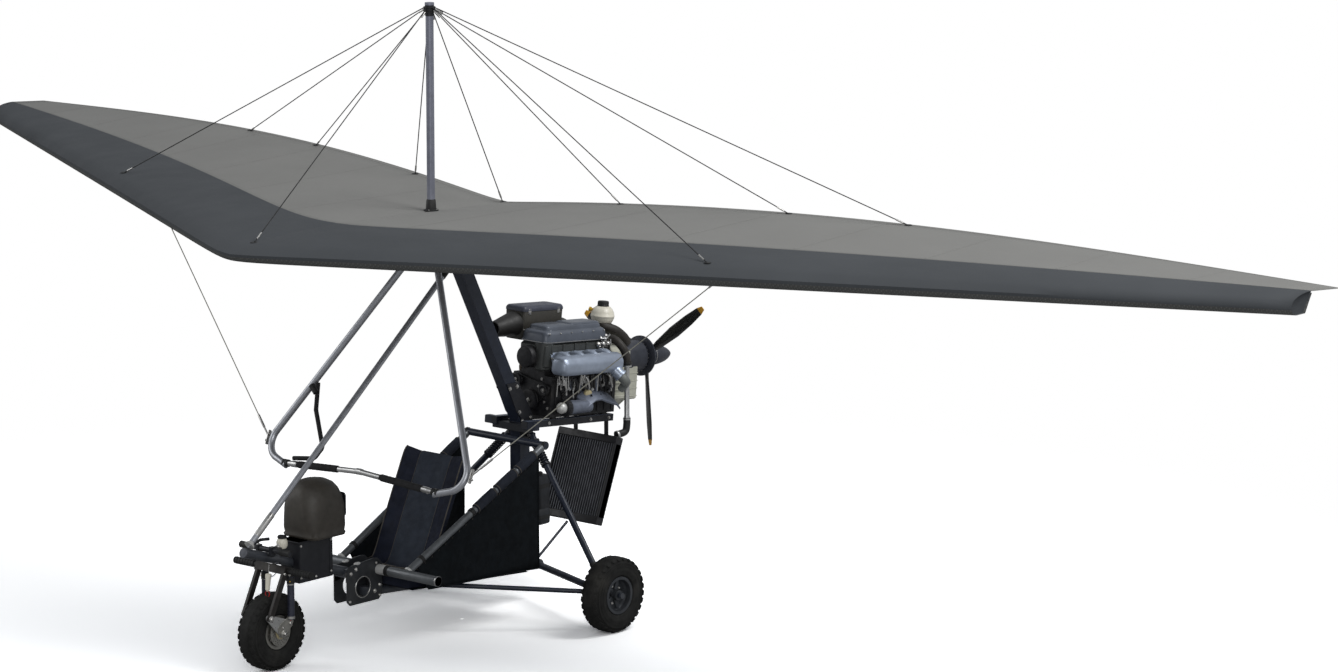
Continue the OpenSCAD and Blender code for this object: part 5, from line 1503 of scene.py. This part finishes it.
def rear_frame():
    """Coil springs and cups on the gear legs, bolts of the pylon plates, tank cap and straps."""
    springs, trim = Shape(), Shape()
    for side in (-1, 1):
        top, foot = (on_side(p, side) for p in (LEG_TOP, LEG_FOOT))
        way = (foot - top).normalized()
        place = placed(top + way * 0.040, way)
        turns, per = 9, 18
        coil = []
        for i in range(turns * per + 1):
            a = TAU * i / per
            coil.append(place @ Vector((0.0245 * math.cos(a), 0.0245 * math.sin(a),
                                        0.012 + 0.150 * i / (turns * per))))
        springs.tube(coil, 0.0042, 8, 0)
        springs.lathe(place, [(0, 0.0195), (0.001, 0.0285), (0.008, 0.0285), (0.010, 0.0195)], 32,
            1)
        springs.lathe(place, [(0.164, 0.0195), (0.166, 0.0285), (0.173, 0.0285), (0.1745, 0.0195)],
                      32, 1)
        trim.tube([top - way * 0.004 - Y * 0.026, top - way * 0.004 + Y * 0.026], 0.009, 16, 0)
        ring_on(trim, foot - way * 0.09, way, 0.0189, 0.0222, 0.020, 1)
        for y, z in ((0.475, 0.975), (0.538, 0.985), (0.470, 1.095), (0.540, 1.105),
                     (0.425, 1.305), (0.365, 1.300), (0.445, 1.150), (0.500, 1.045)):
            trim.bolt(Vector((side * 0.0465, y, z)), X * side, 0.0085, 0)
        # washers where the drag and axle tubes meet at the wheel
        hub = Vector((side * 0.776, 0.347, WHEEL_Z))
        ring_on(trim, hub, X, 0.0199, 0.0262, 0.012, 1)
        ring_on(trim, Vector((side * 0.315, 0.380, 1.000)) - X * side * 0.012, X, 0.0208, 0.0240,
                0.018, 2)
        # platform ends across the pylon
        trim.box((min(side * 0.100, side * 0.196), -1.168, -0.352),
                 (max(side * 0.100, side * 0.196), -1.122, -0.306), 0.004, 3, ENGINE)
        # a thin paler strip of the rail's navy on each rail's top: a painted highlight where light
        # falls
        trim.box((side * 0.120 - 0.0205, -1.165, -0.3062), (side * 0.120 + 0.0205, -0.425, -0.3040),
                 0.0008, 4, ENGINE)
        for y in (-1.10, -0.98, -0.62, -0.46):
            trim.bolt(on_engine(side * 0.1405, y, -0.325), ENGINE_X * side, 0.0075, 0)
    piece = springs.make("gear_coils", "trike", M["spring_steel"], M["frame_black"],
        slot="spring_steel")
    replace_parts(piece, "gear_springs")
    trim.make("rear_frame_trim", "trike", M["steel"], M["rubber"], M["rubber"], M["frame_navy"],
              M["rail_top_painted_highlight"], slot="frame_navy")
    tank = Shape()
    tank.rings([[Vector((x, 0.592 + y, z)) for x, y in round_box(0.220 - 2 * by, 0.110 - 2 * by,
                                                                  0.024, 5)]
                for z, by in ((0.470, 0.010), (0.474, 0.003), (0.482, 0.0005), (0.560, 0.0005),
                              (0.563, 0.003), (0.567, 0.003), (0.570, 0.0005), (0.748, 0.0005),
                              (0.757, 0.003), (0.760, 0.012))], 0)
    tank.lathe(placed((0.060, 0.592, 0.755), Z), [(0, 0.026), (0.004, 0.026), (0.005, 0.023),
                                                  (0.019, 0.023), (0.021, 0.020), (0.021, 0.001)],
               28, 1)
    for z in (0.515, 0.700):
        tank.rings([[Vector((x, 0.592 + y, z + h)) for x, y in round_box(0.2215, 0.1115, 0.025, 5)]
                    for h in (-0.012, 0.012)], 1, True, False)
    tank.tube(bent([Vector((-0.07, 0.592, 0.755)), Vector((-0.07, 0.592, 0.80)),
                    Vector((-0.12, 0.66, 0.86)), on_engine(-0.12, -0.90, -0.30)], 0.05, 5), 0.005,
              10, 1)
    piece = tank.make("fuel_tank_shell", "trike", M["tank_black"], M["rubber"], slot="tank_black",
                      smooth_angle=50)
    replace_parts(piece, "fuel_tank")


M["head_green"] = material("head_casting", (0.060, 0.064, 0.062), 0.45, 0.2, mottle=0.12,
                           mottle_size=0.06, grain=0.35, dust=0.08)
M["hose_grey"] = material("hose_grey", (0.17, 0.18, 0.17), 0.5, mottle=0.15, grain=0.2)
M["casting_blue"] = material("casting_blue", (0.155, 0.175, 0.225), 0.42, 0.3, mottle=0.15,
                             mottle_size=0.04, grain=0.4, dust=0.08)
M["exhaust"] = material("exhaust_steel", (0.16, 0.13, 0.10), 0.42, 0.7, mottle=0.3,
                        mottle_size=0.03, grain=0.2)
M["airbox_side"] = material("airbox_side", (0.040, 0.037, 0.030), 0.5, mottle=0.15, grain=0.25)
M["drum_slate"] = material("drum_slate", (0.040, 0.044, 0.058), 0.42, 0.25, mottle=0.12,
                           grain=0.15, dust=0.05)
# a paler copy of the navy frame paint: painted highlight for the rails' tops
M["rail_top_painted_highlight"] = material("rail_top_painted_highlight", (0.10, 0.12, 0.17), 0.35, 0.3, mottle=0.12)

valve_cover()
cylinder_head()
intake()
engine_side()
air_box()
coolant()
reduction_gear()
propeller()
blade_tips()
radiator()
rear_frame()

# ---------------------------------------------------------------- room, light and camera

FLOOR_TONE = 0.36          # what the object sees
FLOOR_SEEN = 1.9           # what the camera sees
FADE_START, FADE_END = 1.5, 6.0


def floor_finish():
    """Pale floor that keeps the shadow near the aircraft and fades into the white room."""
    made = bpy.data.materials.new("floor_pale")
    made.use_nodes = True
    tree = made.node_tree
    link = tree.links.new
    tree.nodes.remove(tree.nodes["Principled BSDF"])
    path = tree.nodes.new("ShaderNodeLightPath")
    tone = tree.nodes.new("ShaderNodeMix")
    tone.data_type = "RGBA"
    link(path.outputs["Is Camera Ray"], tone.inputs["Factor"])
    tone.inputs[6].default_value = (*[FLOOR_TONE] * 3, 1)
    tone.inputs[7].default_value = (*[FLOOR_SEEN] * 3, 1)
    matt = tree.nodes.new("ShaderNodeBsdfDiffuse")
    link(tone.outputs[2], matt.inputs["Color"])
    spot = tree.nodes.new("ShaderNodeNewGeometry").outputs["Position"]
    reach = tree.nodes.new("ShaderNodeVectorMath")
    reach.operation = "LENGTH"
    link(spot, reach.inputs[0])
    fade = tree.nodes.new("ShaderNodeMapRange")
    fade.interpolation_type = "SMOOTHSTEP"
    fade.inputs["From Min"].default_value = FADE_START
    fade.inputs["From Max"].default_value = FADE_END
    link(reach.outputs["Value"], fade.inputs["Value"])
    share = tree.nodes.new("ShaderNodeMath")
    share.operation = "MULTIPLY"
    link(fade.outputs["Result"], share.inputs[0])
    link(path.outputs["Is Camera Ray"], share.inputs[1])
    mixed = tree.nodes.new("ShaderNodeMixShader")
    link(share.outputs[0], mixed.inputs[0])
    link(matt.outputs[0], mixed.inputs[1])
    link(tree.nodes.new("ShaderNodeBsdfTransparent").outputs[0], mixed.inputs[2])
    link(mixed.outputs[0], tree.nodes["Material Output"].inputs["Surface"])
    return made


def studio():
    """Pale floor, white backdrop for the camera, and plain soft light."""
    floor = Shape().rings([[(x, y, -0.001) for x, y in circle(r, 64)] for r in (0.01, 40)],
                          caps=False).make("floor", "trike", floor_finish())
    floor.parent = None
    scene = bpy.context.scene
    scene.view_settings.view_transform = "Standard"
    world = bpy.data.worlds.new("studio")
    scene.world = world
    world.use_nodes = True
    tree = world.node_tree
    lamp = tree.nodes["Background"]
    lamp.inputs["Color"].default_value = (0.93, 0.96, 1.0, 1)
    lamp.inputs["Strength"].default_value = 0.42
    white = tree.nodes.new("ShaderNodeBackground")
    white.inputs["Color"].default_value = (1, 1, 1, 1)
    pick = tree.nodes.new("ShaderNodeMixShader")
    path = tree.nodes.new("ShaderNodeLightPath")
    tree.links.new(path.outputs["Is Camera Ray"], pick.inputs[0])
    tree.links.new(lamp.outputs[0], pick.inputs[1])
    tree.links.new(white.outputs[0], pick.inputs[2])
    tree.links.new(pick.outputs[0], tree.nodes["World Output"].inputs["Surface"])
    for name, place, size, power in (("key", (9, 4, 14), 9, 1500), ("fill", (14, -16, 9), 10, 900),
                                     ("side", (-14, -8, 8), 9, 500)):
        light = bpy.data.lights.new(name, "AREA")
        light.size, light.energy = size, power
        lamp_object = bpy.data.objects.new(name, light)
        scene.collection.objects.link(lamp_object)
        lamp_object.location = place
        lamp_object.rotation_euler = (Vector((0, 0, 1.2)) - Vector(place)).to_track_quat(
            "-Z", "Y").to_euler()


def camera():
    """Camera at the viewing angle: 41 degrees to port of the nose, 11 degrees above level."""
    azimuth, elevation = 0.7170785, 0.1923727
    data = bpy.data.cameras.new("camera")
    data.lens, data.sensor_width = 150.49, 36
    data.clip_end = 400
    eye = bpy.data.objects.new("camera", data)
    bpy.context.scene.collection.objects.link(eye)
    eye.location = (21.463, -22.805, 7.753)
    look = Vector((-math.sin(azimuth) * math.cos(elevation),
                   math.cos(azimuth) * math.cos(elevation), -math.sin(elevation)))
    eye.rotation_euler = look.to_track_quat("-Z", "Y").to_euler()
    bpy.context.scene.camera = eye


studio()
camera()
